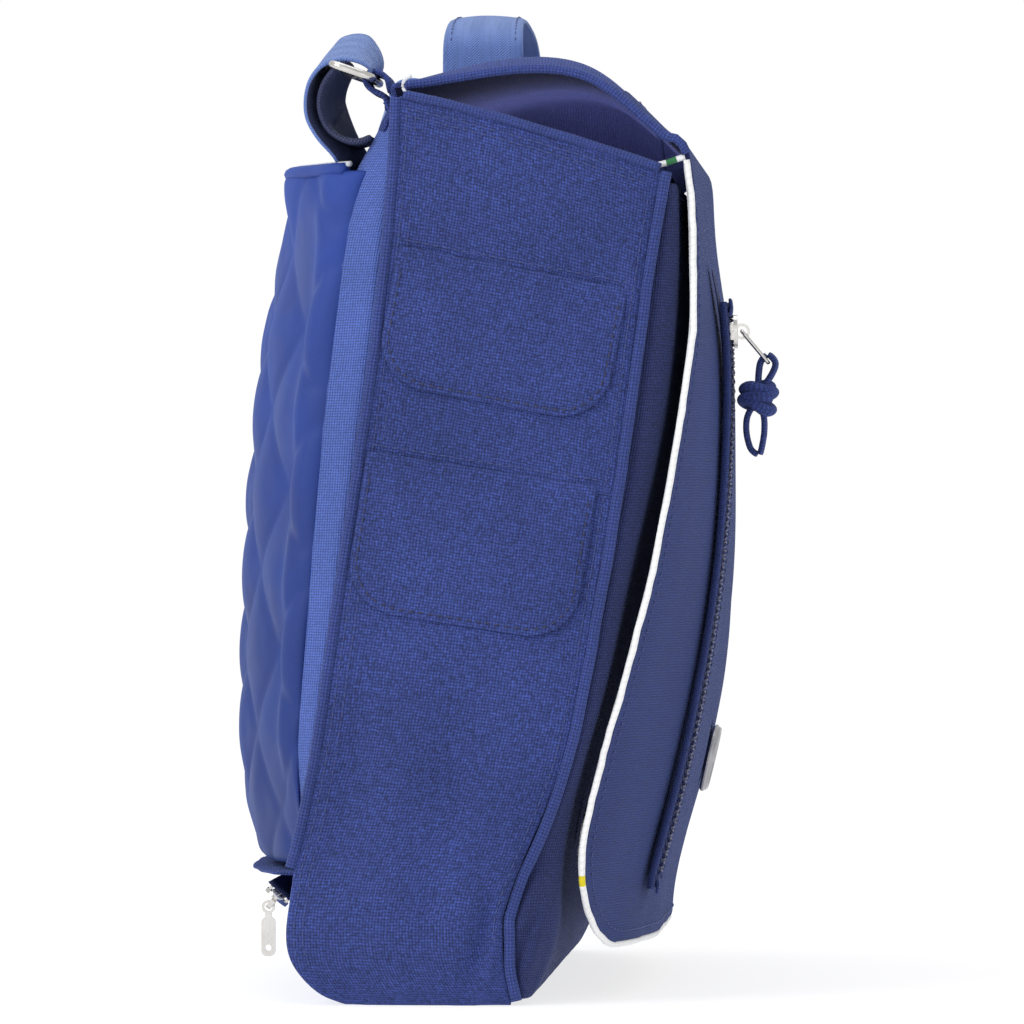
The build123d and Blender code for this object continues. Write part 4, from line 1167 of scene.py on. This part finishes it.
tape_low, tape_high = size("rear_zip_tape")
chain_low, chain_high = size("rear_zip_chain")
rear_normal = Vector((0, tape_high.z - tape_low.z, -(tape_high.y - tape_low.y))).normalized()
rear_middle = Vector((0, (tape_low.y + tape_high.y) / 2, (tape_low.z + tape_high.z) / 2))
rear_across = Vector((1, 0, 0)).cross(rear_normal).normalized()
rows = []
for x in steps(tape_low.x, tape_high.x, 80):
    rows.append([rear_middle + Vector((x, 0, 0)) + rear_across * w + rear_normal * 0.3 * rumple((x, w, 0), 14)
                 for w in steps(-5.4, 5.4, 7)])
dress(sheet("rear_zip_tape_cloth", rows, ZIP_TAPE, thickness=0.6), "rear_zip_tape", slot="zip_tape")
chain_middle = Vector((0, (chain_low.y + chain_high.y) / 2, (chain_low.z + chain_high.z) / 2))
path = [chain_middle + Vector((x, 0, 0)) for x in steps(chain_low.x, chain_high.x, 60)]
rear_coil = coil("rear_zip_coil", path, [rear_normal] * 60, REAR_COIL, width=5.0)
dress(rear_coil, "rear_zip_chain", slot="rear_coil")


# ---------------------------------------------------------------- flap
ROOF = Probe("flap_roof")
FLAP = Probe("flap_front")
flap_low = size("flap_front")[0]
LIFT, FOLD = joint_point("flap_lift"), joint_point("flap_fold")
FLAP_CORNER = 40.0
FLAP_TOP, FLAP_FOOT = FOLD.z - 3.5, flap_low.z
SEAM_Y = FOLD.y + 17  # where the roof's cloth is sewn to the front's
DROOP = 4.5
FAR_DROOP, FAR_DROOP_Y = 22.0, FOLD.y + 36
HEM_OUT = 0.9  # how far the hem and the piping stand off the cloth's edge
STITCH_INSET = 4.2  # from the flap's edge to its topstitching


def roof_spot(x, y):
    """A place on the roof, whose sides droop a little."""
    z = ROOF.top(clamp(x, 0.5 - FLAP_X, FLAP_X - 0.5), y)
    across = (y - FOLD.y) / (LIFT.y - FOLD.y)
    droop = DROOP * smooth((abs(x) - FLAP_X + 15) / 15) * math.sin(math.pi * clamp(across, 0, 1)) ** 0.7
    slump = FAR_DROOP * bell(y - FAR_DROOP_Y, 32) * smooth((y - FOLD.y - 3) / 14)
    droop += slump * smooth((x - FLAP_X + 62) / 62)  # one side hangs slack
    return Vector((x, y, z - droop - 0.2 + 0.7 * rumple((x, y, 0), 32, 11)))


def hem_columns(half, count):
    """Positions across a panel, closer together near its two edges."""
    edge = (0, 1.5, 4, 8)
    return [x - half for x in edge] + steps(14 - half, half - 14, count) + [half - x for x in edge[::-1]]


ROOF_COLUMNS = hem_columns(FLAP_X, 44)
# The roof is sewn to the back panel below the lift line, and bends there
rows = [[(x, SHELL.back(clamp(x, 5 - WALL_X, WALL_X - 5), LIFT.z - drop) + 0.7, LIFT.z - drop)
         for x in ROOF_COLUMNS] for drop in (16, 12, 8, 4.6)]
rows += [[(x, LIFT.y + out, LIFT.z + up) for x in ROOF_COLUMNS] for out, up in ((2.4, -1.2), (1.4, 1.2))]
rows += [[roof_spot(x, y) for x in ROOF_COLUMNS] for y in steps(LIFT.y - 2.5, SEAM_Y, 34)]
roof = sheet("flap_roof_cloth", rows, CANVAS, thickness=2.0, inside=Vector((0, -10, 250)))
# the roof's underside gets the canvas painted lighter, as painted light inside the mouth
roof.data.materials.append(PAINTED_LIGHT_INNER_CANVAS)
roof.modifiers["thickness"].material_offset = 1
bend(roof, "flap_roof", second="flap_roof", start=(LIFT.y, LIFT.z - 3.5), end=(LIFT.y - 4, LIFT.z + 1.5))

for side, sign in SIDES.items():
    path = [roof_spot(sign * FLAP_X, y) + Vector((sign * HEM_OUT, 0, -HEM_OUT))
            for y in steps(LIFT.y - 3, FOLD.y + 6, 60)]
    slack = corner_slack(sign * FLAP_X, FOLD.z)
    path += [Vector((sign * (FLAP_X + HEM_OUT), FOLD.y + out + slack, FOLD.z + up))
             for out, up in ((2.6, 4.0), (0.2, 1.8), (-1.2, -1.2))]
    hem = tube(f"flap_roof_hem_{side}", path, 1.7, CORD)
    dress(hem, "flap_roof_piping", body="flap_roof")
    spots = [(sign * (FLAP_X - STITCH_INSET), y, FAR) for y in steps(LIFT.y - 8, SEAM_Y + 1, 80)]
    sew(f"roof_stitching_{side}", roof, spots, -UP, body="flap_roof")


def flap_half(z):
    """Half the front's width at a height, with round bottom corners."""
    deep = max(0.0, FLAP_FOOT + FLAP_CORNER - z)
    return FLAP_X - FLAP_CORNER + math.sqrt(max(0.0, FLAP_CORNER**2 - deep**2))


def flap_spot(x, z, behind=0.0):
    """A place on the flap's front, whose side edges wave a little."""
    half = flap_half(z)
    inner = clamp(x, 1.2 - half, half - 1.2)
    y = FLAP.front(inner, clamp(z, FLAP_FOOT + 0.8, FLAP_TOP))
    edge = bell(FLAP_X - abs(x), 14)
    wave = 1.2 * edge * rumple((0, math.copysign(40, x), z), 26, 12)
    streak = 0.45 * rumple((x, 0, z * 0.22), 11, 13) * smooth((FLAP_X - abs(x)) / 20)
    soft = 1.0 * rumple((x, 20, z * 0.6), 38, 14) * smooth((FLAP_X - abs(x)) / 30)
    hollow = 3.2 * smooth((x + 105) / 60) * smooth((FLAP_X - x) / 70) * bell(z - 205, 70)
    return Vector((x, y + wave + streak + soft + hollow + corner_slack(x, z) + behind, z))


FRONT_SHARES = [x / FLAP_X for x in hem_columns(FLAP_X, 52)]


def flap_rows(top, behind, inset=0.0):
    """Rows down the flap's front, following its outline."""
    round_top = FLAP_FOOT + FLAP_CORNER
    heights = steps(top, round_top, 52) + steps(round_top - 3, FLAP_FOOT + inset + 0.4, 16)
    return [[flap_spot(share * (flap_half(z) - inset), z, behind) for share in FRONT_SHARES] for z in heights]


FRONT_COLUMNS = [share * FLAP_X for share in FRONT_SHARES]
rows = [[roof_spot(x, y) + UP * 0.8 for x in FRONT_COLUMNS] for y in steps(SEAM_Y + 4, FOLD.y + 5, 7)]
rows += [[Vector((x, FOLD.y + out + corner_slack(x, FOLD.z), FOLD.z + up)) for x in FRONT_COLUMNS]
         for out, up in ((-0.5, 3.4), (-2.2, 0.6))]
rows += flap_rows(FLAP_TOP - 3, 0.0)
flap = sheet("flap_front_cloth", rows, FLAP_CANVAS, thickness=1.6, inside=FLAP_HEART)
# the flap's inner face gets the canvas painted lighter, as painted light
flap.data.materials.append(PAINTED_LIGHT_INNER_CANVAS)
flap.modifiers["thickness"].material_offset = 1
bend(flap, "flap_front", first="flap_roof", second="flap_front", start=(FOLD.y + 5, FOLD.z + 5),
     end=(FOLD.y - 3, FOLD.z - 5))

flap_lining = sheet("flap_lining_cloth", flap_rows(FLAP_TOP - 1, 2.3, 1.0), LINING, thickness=0.8,
                    inside=FLAP_HEART)
dress(flap_lining, "flap_lining", body="flap_front", slot="lining_white")

# White piping down both sides and along the bottom
heights = steps(FLAP_TOP, FLAP_FOOT + FLAP_CORNER, 60)
angles = steps(0, math.pi / 2, 16)[1:]
corner_x, corner_z = FLAP_X - FLAP_CORNER, FLAP_FOOT + FLAP_CORNER
outline = [(FLAP_X, z) for z in heights]
outline += [(corner_x + FLAP_CORNER * math.cos(a), corner_z - FLAP_CORNER * math.sin(a)) for a in angles]
outline += [(x, FLAP_FOOT) for x in steps(corner_x - 6, 0, 24)]
outline = [(-x, z) for x, z in outline] + outline[-2::-1]
path = []
for x, z in outline:
    spot = flap_spot(x * 0.998, max(z, FLAP_FOOT + 0.5), 1.5)
    out = math.copysign(HEM_OUT, x) if z > corner_z else 0
    path.append(spot + Vector((out, 0.5 * rumple((x, 0, z), 6), -HEM_OUT if z < corner_z else 0)))
piping = tube("flap_piping", even(path, 2.0), 1.2, PIPING, up=BACK)
dress(piping, "flap_front_piping", body="flap_front", slot="piping_white")

# The lining's corners peep out at the fold
for side, sign in SIDES.items():
    slack = corner_slack(sign * FLAP_X, FOLD.z)
    peep = [(sign * (FLAP_X - 0.2), FOLD.y + out + slack, FOLD.z - down)
            for out, down in ((8.5, 5.2), (5.5, 4.4), (2.0, 3.2), (-0.6, 2.4))]
    corner = tube(f"lining_corner_{side}", curve_through(peep, 0.8), 1.9, LINING_EDGE, flat=0.6)
    dress(corner, body="flap_front", slot="lining_white")

# Topstitching inside the flap's edge
spots = []
for x, z in outline[4:-4]:
    if z > corner_z:
        inward = Vector((-math.copysign(1, x), 0, 0))
    elif abs(x) > corner_x:
        inward = Vector((math.copysign(corner_x, x) - x, 0, corner_z - z)).normalized()
    else:
        inward = UP
    spots.append(Vector((x, -FAR, z)) + inward * STITCH_INSET)
sew("flap_stitching", flap, spots, BACK, body="flap_front")
spots = [(x, SEAM_Y - 1, FAR) for x in steps(4 - FLAP_X, FLAP_X - 4, 220)]
sew("roof_seam_stitching", flap, spots, -UP, body="flap_roof")


# ---------------------------------------------------------------- flap zip
TAPE, CHAIN = Probe("flap_zip_tape"), Probe("flap_zip_chain")
tape_low, tape_high = size("flap_zip_tape")
chain_low, chain_high = size("flap_zip_chain")
ZIP_X = (chain_low.x + chain_high.x) / 2
ZIP_HEIGHTS = steps(chain_high.z - 2, chain_low.z + 2, 90)


def chain_y(z):
    """Depth of the coil's outer face at a height."""
    return CHAIN.front(ZIP_X, clamp(z, chain_low.z + 2, chain_high.z - 2))


rows = [[(x, TAPE.front(clamp(x, tape_low.x + 0.2, tape_high.x - 0.2), z) - 0.1, z)
         for x in steps(ZIP_X - 7.5, ZIP_X + 7.5, 9)] for z in steps(tape_high.z - 2, tape_low.z + 2, 70)]
dress(sheet("flap_zip_tape_cloth", rows, ZIP_TAPE, thickness=0.5, inside=FLAP_HEART),
      "flap_zip_tape", body="flap_front", slot="zip_tape")
chain_path = [Vector((ZIP_X, chain_y(z) + 0.5, z)) for z in ZIP_HEIGHTS]
chain_normals = []
for a, b in zip(chain_path, chain_path[1:]):
    chain_normals.append((b - a).cross(RIGHT).normalized())
chain_normals = [n if n.y < 0 else -n for n in chain_normals]
flap_coil = coil("flap_zip_coil", chain_path, chain_normals, FLAP_COIL, width=5.2)
dress(flap_coil, "flap_zip_chain", body="flap_front", slot="flap_coil")

# Two folded lips of cloth beside the coil, stitched down
LIP_OFFSET = 7.2  # clear of the slider
for edge, offset in (("near", -LIP_OFFSET), ("far", LIP_OFFSET)):
    path = [Vector((ZIP_X + offset, lerp(FLAP.front(ZIP_X + offset, z), chain_y(z), 0.45) - 0.6, z))
            for z in steps(chain_high.z + 3, chain_low.z - 2, 90)]
    lip = tube(f"flap_zip_lip_{edge}", path, 2.4, FLAP_CANVAS, flat=0.6, up=-BACK)
    dress(lip, body="flap_front")
    spots = [(p.x + math.copysign(0.8, offset), -FAR, p.z) for p in path]
    sew(f"flap_zip_stitching_{edge}", lip, spots, BACK, DARK_THREAD, body="flap_front")
for end, z in (("top", chain_high.z + 1), ("foot", chain_low.z - 0.5)):
    rows = [[(ZIP_X + w, chain_y(z) + 0.2 - 0.5 * bell(h, 2.5), z + h)
             for w in steps(-8, 8, 9)] for h in steps(-3.5, 3.5, 7)]
    stop = sheet(f"flap_zip_stop_{end}", rows, FLAP_CANVAS, thickness=1.2, inside=FLAP_HEART)
    dress(stop, body="flap_front")

# Cloth pull: a band through the wire bail, a knot, and two tails that end in a small loop
pull = joint_point("flap_pull_swing")


def on_pull(back, down, across=0.0):
    return pull + Vector((across, back, -down))


def pull_path(knots, spacing, across=0.0):
    """A curve through knots given as (back, down) from the pull's hinge."""
    return curve_through([on_pull(back, down, across) for back, down in knots], spacing)


neck = ((2.0, 9), (-1.4, 4), (-2.6, 0), (0, -2.8), (2.6, -0.4), (3.4, 4), (3.6, 9))
pieces = [tube("pull_neck", pull_path(neck, 0.7), 3.6, CANVAS, flat=0.36, up=BACK)]
wraps = ((0.0, 12.0, 4.6, 0.3), (1.0, 15.2, 4.2, -0.4), (0.6, 9.2, 3.8, 0.1))
for n, (back, down, radius, lean) in enumerate(wraps):
    loop = []
    for a in steps(0, math.tau, 29)[:-1]:
        sag = lean * radius * math.cos(a) + 0.8 * math.sin(2 * a)
        loop.append(on_pull(3.6 + back * 0.4 + radius * math.cos(a), down + sag, radius * 0.9 * math.sin(a)))
    pieces.append(tube(f"pull_wrap_{n}", loop, 3.3, CANVAS, closed=True, flat=0.7))
core = [on_pull(3.6, down) for down in steps(8, 17, 9)]
pieces.append(tube("pull_core", core, lambda t: 2.4 + 3.6 * math.sin(math.pi * t), CANVAS))
tails = (((3.6, 14), (1.6, 19), (1.4, 25), (2.4, 31), (3.0, 33)),
         ((4.4, 14), (7.4, 19), (7.8, 25), (6.2, 31), (3.6, 33)))
for n, tail in enumerate(tails):
    path = pull_path(tail, 1.0, (n - 0.5) * 1.2)
    pieces.append(tube(f"pull_tail_{n}", path, 3.4, CANVAS, flat=0.36, up=BACK))
pull_cloth = merge("flap_pull_cloth", pieces)
subdivide(pull_cloth, 1)
dress(pull_cloth, "flap_zip_pull", body="flap_pull")

# Badge: the plate stays, with a raised rim and a centre line of rivets
badge_low, badge_high = size("flap_badge")
badge_middle = (badge_low + badge_high) / 2
badge_tilt = math.atan2(FLAP.front(0, badge_low.z) - FLAP.front(0, badge_high.z), badge_high.z - badge_low.z)
badge_up = Vector((0, -math.sin(badge_tilt), math.cos(badge_tilt)))
badge_out = Vector((0, -math.cos(badge_tilt), -math.sin(badge_tilt)))
BADGE_HALF, BADGE_END = (badge_high.x - badge_low.x) / 2, 12.5
rim = []
for a in steps(0, math.tau, 65)[:-1]:
    x = (BADGE_HALF - BADGE_END) * (1 if math.cos(a) > 0 else -1) + (BADGE_END - 1.6) * math.cos(a)
    rim.append(badge_middle + RIGHT * x + badge_up * (BADGE_END - 1.6) * math.sin(a) + badge_out * 1.0)
dress(tube("badge_rim", rim, 0.9, BADGE, closed=True), body="flap_front", slot="badge_metal")
for n, x in enumerate((-11, 11)):
    rivet = [badge_middle + RIGHT * x + badge_out * d for d in steps(0.3, 1.9, 6)]
    head = tube(f"badge_rivet_{n}", rivet, lambda t: 2.2 * math.cos(t * 1.2), BADGE, sides=16)
    dress(head, body="flap_front", slot="badge_metal")


# ---------------------------------------------------------------- grab handle
handle_low, handle_high = size("grab_handle")
patch_low, patch_high = size("handle_patches")
HANDLE_HALF, HANDLE_FOOT_X = (handle_high.y - handle_low.y) / 2, handle_high.x
HANDLE_Y = (handle_low.y + handle_high.y) / 2
HANDLE_Z = joint_point("handle_tilt").z
HANDLE_CREST = handle_high.z - 1.2
PATCH_TOP = ROOF.top(HANDLE_FOOT_X, HANDLE_Y)
PATCH_HALF = 10  # half a patch's length along the bag


def handle_path():
    """The handle's middle line from one foot over the crest to the other."""
    feet = [Vector((-HANDLE_FOOT_X + 1.5, HANDLE_Y, z)) for z in steps(PATCH_TOP + 0.5, HANDLE_Z, 3)[:-1]]
    arch = []
    for a in steps(math.pi, 0, 45):
        rise = (HANDLE_CREST - HANDLE_Z) * math.sin(a) ** 0.55 if 0 < a < math.pi else 0.0
        arch.append(Vector(((HANDLE_FOOT_X - 1.5) * math.cos(a), HANDLE_Y, HANDLE_Z + rise)))
    return feet + arch + [Vector((-p.x, p.y, p.z)) for p in feet[::-1]]


rows = []
path = handle_path()
for k, p in enumerate(path):
    share = k / (len(path) - 1)
    squeeze = 1 - 0.10 * bell(share - 0.5, 0.3)
    row = []
    for w in steps(-1, 1, 11):
        cup = -1.4 * (w * w) * bell(share - 0.5, 0.35)
        row.append(p + Vector((0, w * HANDLE_HALF * squeeze, cup + 0.3 * rumple((p.x, w * 15, 0), 18))))
    rows.append(row)
handle = sheet("grab_handle_webbing", rows, WEBBING, thickness=2.2, inside=Vector((0, 0, 300)))
handle_edges = [[row[n] for row in rows] for n in (1, -2)]
bend(handle, "grab_handle", first="flap_roof", second="handle", start=(HANDLE_Y, PATCH_TOP + 1.5),
     end=(HANDLE_Y, HANDLE_Z + 6), slot="strap_twill")
for n, edge in enumerate(handle_edges):
    spots = [p + UP * 40 for p in edge if abs(p.x) < HANDLE_FOOT_X - 3]
    sew(f"handle_stitching_{n}", handle, spots, -UP, body="handle", slot="strap_twill")

for side, sign in SIDES.items():
    centre = sign * (HANDLE_FOOT_X - 1)
    rows = []
    for x in steps(centre - PATCH_HALF, centre + PATCH_HALF, 15):
        lift = 1.6 + 0.3 * bell(PATCH_HALF - abs(x - centre), 2)
        rows.append([(x, y, roof_spot(x, y).z + lift) for y in steps(patch_low.y - 1, patch_high.y + 1, 19)])
    patch = sheet(f"handle_patch_{side}", rows, CANVAS, thickness=1.4, inside=Vector((0, 0, 300)))
    dress(patch, "handle_patches", body="flap_roof")
    x0, x1, y0, y1 = centre - 7.5, centre + 7.5, patch_low.y + 1.5, patch_high.y - 1.5
    box = [(x0, y0), (x1, y0), (x1, y1), (x0, y1), (x0, y0)]
    threads = []
    for n, (a, b) in enumerate(list(zip(box, box[1:])) + [(box[0], box[2]), (box[1], box[3])]):
        spots = [(*Vector(a).lerp(Vector(b), t), FAR) for t in steps(0, 1, 24)]
        threads.append(stitches(f"patch_thread_{side}_{n}", drape(patch, spots, -UP), THREAD))
    dress(merge(f"handle_patch_stitching_{side}", threads), body="flap_roof")


# ---------------------------------------------------------------- strap ends, rings and tabs
STRAP_WIDTH = 36.0
SWING_FOOT, SWING_TOP = 298, 316  # heights passed to bend() as the strap's start and end; bend() does not use them to move the strap


def strap_shear(share, rise):
    """How far the strap's inner edge leaves its outer one: back in the leg, up over the roll."""
    leg = smooth(rise / 12)
    past = smooth((share - 0.42) / 0.3)
    ring = smooth((share - 0.8) / 0.2)
    lifted = 11 * smooth((share - 0.1) / 0.4) * (1 - ring)
    return Vector((0, lerp(-10.5, -3, past), lifted)) * leg * (1 - 0.7 * ring)


for side, sign in SIDES.items():
    ring_low, ring_high = size(f"strap_ring_{side}")
    ring_x = (ring_low.x + ring_high.x) / 2
    bar = joint_point(f"strap_ring_{side}_swing")

    # Tab: folded cloth round the ring's front bar, sewn to the back of the bag
    rows = []
    for w in steps(-16, 16, 15):
        x = ring_x + w
        outer = SHELL.back(x, 314) + 1.2
        knots = [(x, outer + 0.2, 314), (x, LIFT.y + 4.6, 318.5), (x, bar.y + 1.6, bar.z - 4.4),
                 (x, bar.y + 3.9, bar.z - 0.4), (x, bar.y + 1.2, bar.z + 3.6), (x, bar.y - 3.6, bar.z + 2.6),
                 (x, LIFT.y + 2.0, 325), (x, LIFT.y + 1.4, 320)]
        rows.append(curve_through([Vector(k) + Vector((0, 0.25 * rumple(k, 9), 0)) for k in knots], 1.6))
    shortest = min(len(row) for row in rows)
    rows = [row[:shortest - 1] + [row[-1]] for row in rows]
    tab = sheet(f"strap_tab_cloth_{side}", rows, CANVAS, thickness=2.0, inside=bar)
    dress(tab, f"strap_tab_{side}")
    sew(f"strap_tab_stitching_{side}", tab, [(ring_x + w, FAR, 317) for w in steps(-14, 14, 24)], -BACK)

    # Strap end: up out of the rear pocket, over in a roll, down through the ring
    roll = [(53.0, 288), (55.8, 297), (61.6, 304), (65.6, 311), (66.4, 318), (64.6, 325), (60, 330.4),
            (52.5, 332.8), (45.5, 331.6), (41.4, 328.8), (42.6, 326.4), (46, 326)]
    near = curve_through([(0, y, z) for y, z in roll], 1.8)
    rows = []
    for k, p in enumerate(near):
        shear = strap_shear(k / (len(near) - 1), p.z - 284)
        row = []
        tucked = smooth((304 - p.z) / 14)  # inside the pocket it narrows and moves in from the side
        for t in steps(-0.5, 0.5, 11):
            x = ring_x - sign * (t * (STRAP_WIDTH - 12 * tucked) + 8 * tucked)
            row.append(p + shear * (t + 0.5) + Vector((x, 0.5 * rumple((t * STRAP_WIDTH, p.y, p.z), 14), 0)))
        rows.append(row)
    strap = sheet(f"strap_end_webbing_{side}", rows, WEBBING, thickness=1.8, inside=Vector((ring_x, 56, 320)))
    # the strap's inner face gets the webbing painted dark, as painted shade inside the roll
    strap.data.materials.append(STRAP_BACK_PAINTED_SHADE)
    strap.modifiers["thickness"].material_offset = 1
    swing = {"second": f"ring_{side}", "slot": "strap_twill"}
    swing |= {"start": (bar.y + 10, SWING_FOOT), "end": (bar.y + 14, SWING_TOP)}
    bend(strap, f"strap_end_{side}", **swing)

    # Its end turns back inside the roll and is sewn down behind the bag's top
    inner = [(49.6, 331), (54.6, 328), (58.4, 322.5), (59.4, 315.5), (57, 309), (52, 305.4), (46.6, 304.4),
             (42.6, 306.2)]
    rows = []
    for p in curve_through([(0, y, z) for y, z in inner], 1.8):
        lean = Vector((0, -6.5, 2)) * smooth((p.z - 306) / 8) * smooth((331 - p.z) / 6)
        row = []
        for t in steps(-0.5, 0.5, 9):
            wave = 0.4 * rumple((t * STRAP_WIDTH, p.y, p.z), 11)
            row.append(p + lean * (t + 0.5) + Vector((ring_x - sign * t * (STRAP_WIDTH - 1), wave, 0)))
        rows.append(row)
    # the turned-back end is all webbing painted dark, as painted shade inside the roll
    back = sheet(f"strap_return_{side}", rows, STRAP_BACK_PAINTED_SHADE, thickness=2.2, inside=Vector((ring_x, 66, 316)))
    bend(back, **swing)

    # The mouth's lining shows as a thin pale edge at the back corner
    edge = [(sign * (GUSSET_X + 0.4), y, z)
            for y, z in ((29.4, 320.2), (30.4, 322.4), (29.6, 324.6), (27.2, 326))]
    pale_edge = tube(f"corner_lining_edge_{side}", curve_through(edge, 0.8), 0.6, POCKET_CLOTH)
    dress(pale_edge, slot="lining_white")

# The stowed run of the strap, in the rear pocket
STOWED = Probe("strap_stowed")
stowed_low, stowed_high = size("strap_stowed")
RUN_X = stowed_high.x - STRAP_WIDTH / 2
RUN_Z = stowed_low.z + STRAP_WIDTH / 2


def stowed_spot(x, z):
    inner = clamp(x, 1 - stowed_high.x, stowed_high.x - 1)
    return Vector((x, STOWED.back(inner, z) - 0.4 + 0.3 * rumple((x, 0, z), 20), z))


RUN_HALF = 17  # half the width of the webbing that shows
run_across = steps(-RUN_HALF, RUN_HALF, 9)
pieces = {}
for side, sign in SIDES.items():
    heights = steps(stowed_high.z - 1, RUN_Z - RUN_HALF, 30)
    pieces[f"strap_leg_{side}"] = [[stowed_spot(sign * RUN_X + w, z) for w in run_across] for z in heights]
pieces["strap_run"] = [[stowed_spot(x, RUN_Z + w) - BACK * 0.6 for w in run_across]
                       for x in steps(RUN_HALF - RUN_X, RUN_X - RUN_HALF, 60)]
for name, rows in pieces.items():
    webbing = sheet(name, rows, WEBBING, thickness=1.8, inside=Vector((0, 0, 200)))
    dress(webbing, "strap_stowed", slot="strap_twill")


# ---------------------------------------------------------------- finishes of the hard parts that stay
HARD = {"base_board": BOARD, "rear_zip_slider": NICKEL, "rear_zip_pull": NICKEL, "flap_zip_slider": NICKEL,
        "flap_zip_bail": NICKEL, "flap_badge": BADGE, "flap_magnets": NICKEL, "body_magnets": NICKEL,
        "strap_adjuster": NICKEL, "strap_ring_left": NICKEL, "strap_ring_right": NICKEL}
for name, finish in HARD.items():
    part = frame["nodes"][name]
    if not part.material_slots:
        part.data.materials.append(finish)
    for holder in part.material_slots:
        holder.material = finish


# ---------------------------------------------------------------- floor, light and camera
def flat(name, half, z):
    mesh = bpy.data.meshes.new(name)
    corners = [(-half, -half, z), (half, -half, z), (half, half, z), (-half, half, z)]
    mesh.from_pydata(corners, [], [(0, 1, 2, 3)])
    piece = bpy.data.objects.new(name, mesh)
    bpy.context.scene.collection.objects.link(piece)
    return piece


FLOOR_GLOW = 0.74  # keeps the floor pale in the weak light
SKY_STRENGTH = 0.72
ground = flat("floor", 30.0, 0.0)
pale = Shader("pale_floor", roughness=0.9)
mottle = pale.span(pale.noise(pale.place(), 0.001), 0, 1, 0.99, 1.01)
pale.paint((150, 150, 152), mottle, Emission_Color=srgb(*WHITE), Emission_Strength=FLOOR_GLOW)
ground.data.materials.append(pale.material)
ground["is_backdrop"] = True

world = bpy.data.worlds.new("studio")
world.use_nodes = True
sky = world.node_tree
soft = sky.nodes["Background"]
soft.inputs["Color"].default_value = (1.0, 1.0, 1.0, 1.0)
soft.inputs["Strength"].default_value = SKY_STRENGTH
backdrop = sky.nodes.new("ShaderNodeBackground")  # pure white behind the bag
backdrop.inputs["Color"].default_value = (1.0, 1.0, 1.0, 1.0)
ray, either = sky.nodes.new("ShaderNodeLightPath"), sky.nodes.new("ShaderNodeMixShader")
sky.links.new(ray.outputs["Is Camera Ray"], either.inputs[0])
sky.links.new(soft.outputs[0], either.inputs[1])
sky.links.new(backdrop.outputs[0], either.inputs[2])
sky.links.new(either.outputs[0], sky.nodes["World Output"].inputs["Surface"])
bpy.context.scene.world = world
bpy.context.scene.view_settings.view_transform = "Standard"


def softbox(name, place, aim, width, power):
    """A large soft light that points at a spot."""
    light = bpy.data.lights.new(name, "AREA")
    light.shape, light.size, light.energy = "SQUARE", width, power
    lamp = bpy.data.objects.new(name, light)
    lamp.location = place
    lamp.rotation_euler = (Vector(aim) - Vector(place)).to_track_quat("-Z", "Y").to_euler()
    bpy.context.scene.collection.objects.link(lamp)


AIM = (-GUSSET_X * MM, -0.008, 0.173)
softbox("key_light", (-1.6, 1.5, 1.5), AIM, 1.2, 26.0)
softbox("fill_light", (-2.1, -0.4, 0.25), AIM, 1.6, 4.0)
softbox("top_light", (0.2, 0.2, 2.2), AIM, 1.4, 10.0)

# A weak light in the bag's mouth, as pale cloth inside would throw back; it isn't seen itself
softbox("mouth_light", (0.06, -0.015, 0.27), (0.06, -0.012, 0.33), 0.10, 0.05)
bpy.data.objects["mouth_light"].visible_camera = False

AZIMUTH, DISTANCE, HEIGHT = math.radians(-87), 2.91, 0.170
camera = bpy.data.cameras.new("camera")
camera.sensor_width, camera.lens = 36.0, 292.0
viewer = bpy.data.objects.new("camera", camera)
viewer.location = (AIM[0] + math.sin(AZIMUTH) * DISTANCE, AIM[1] - math.cos(AZIMUTH) * DISTANCE, HEIGHT)
viewer.rotation_euler = (Vector(AIM) - viewer.location).to_track_quat("-Z", "Y").to_euler()
bpy.context.scene.collection.objects.link(viewer)
bpy.context.scene.camera = viewer

boxes = {"cad": cad_box, "visual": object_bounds()}
{name: [list(corner) for corner in box] for name, box in boxes.items()}
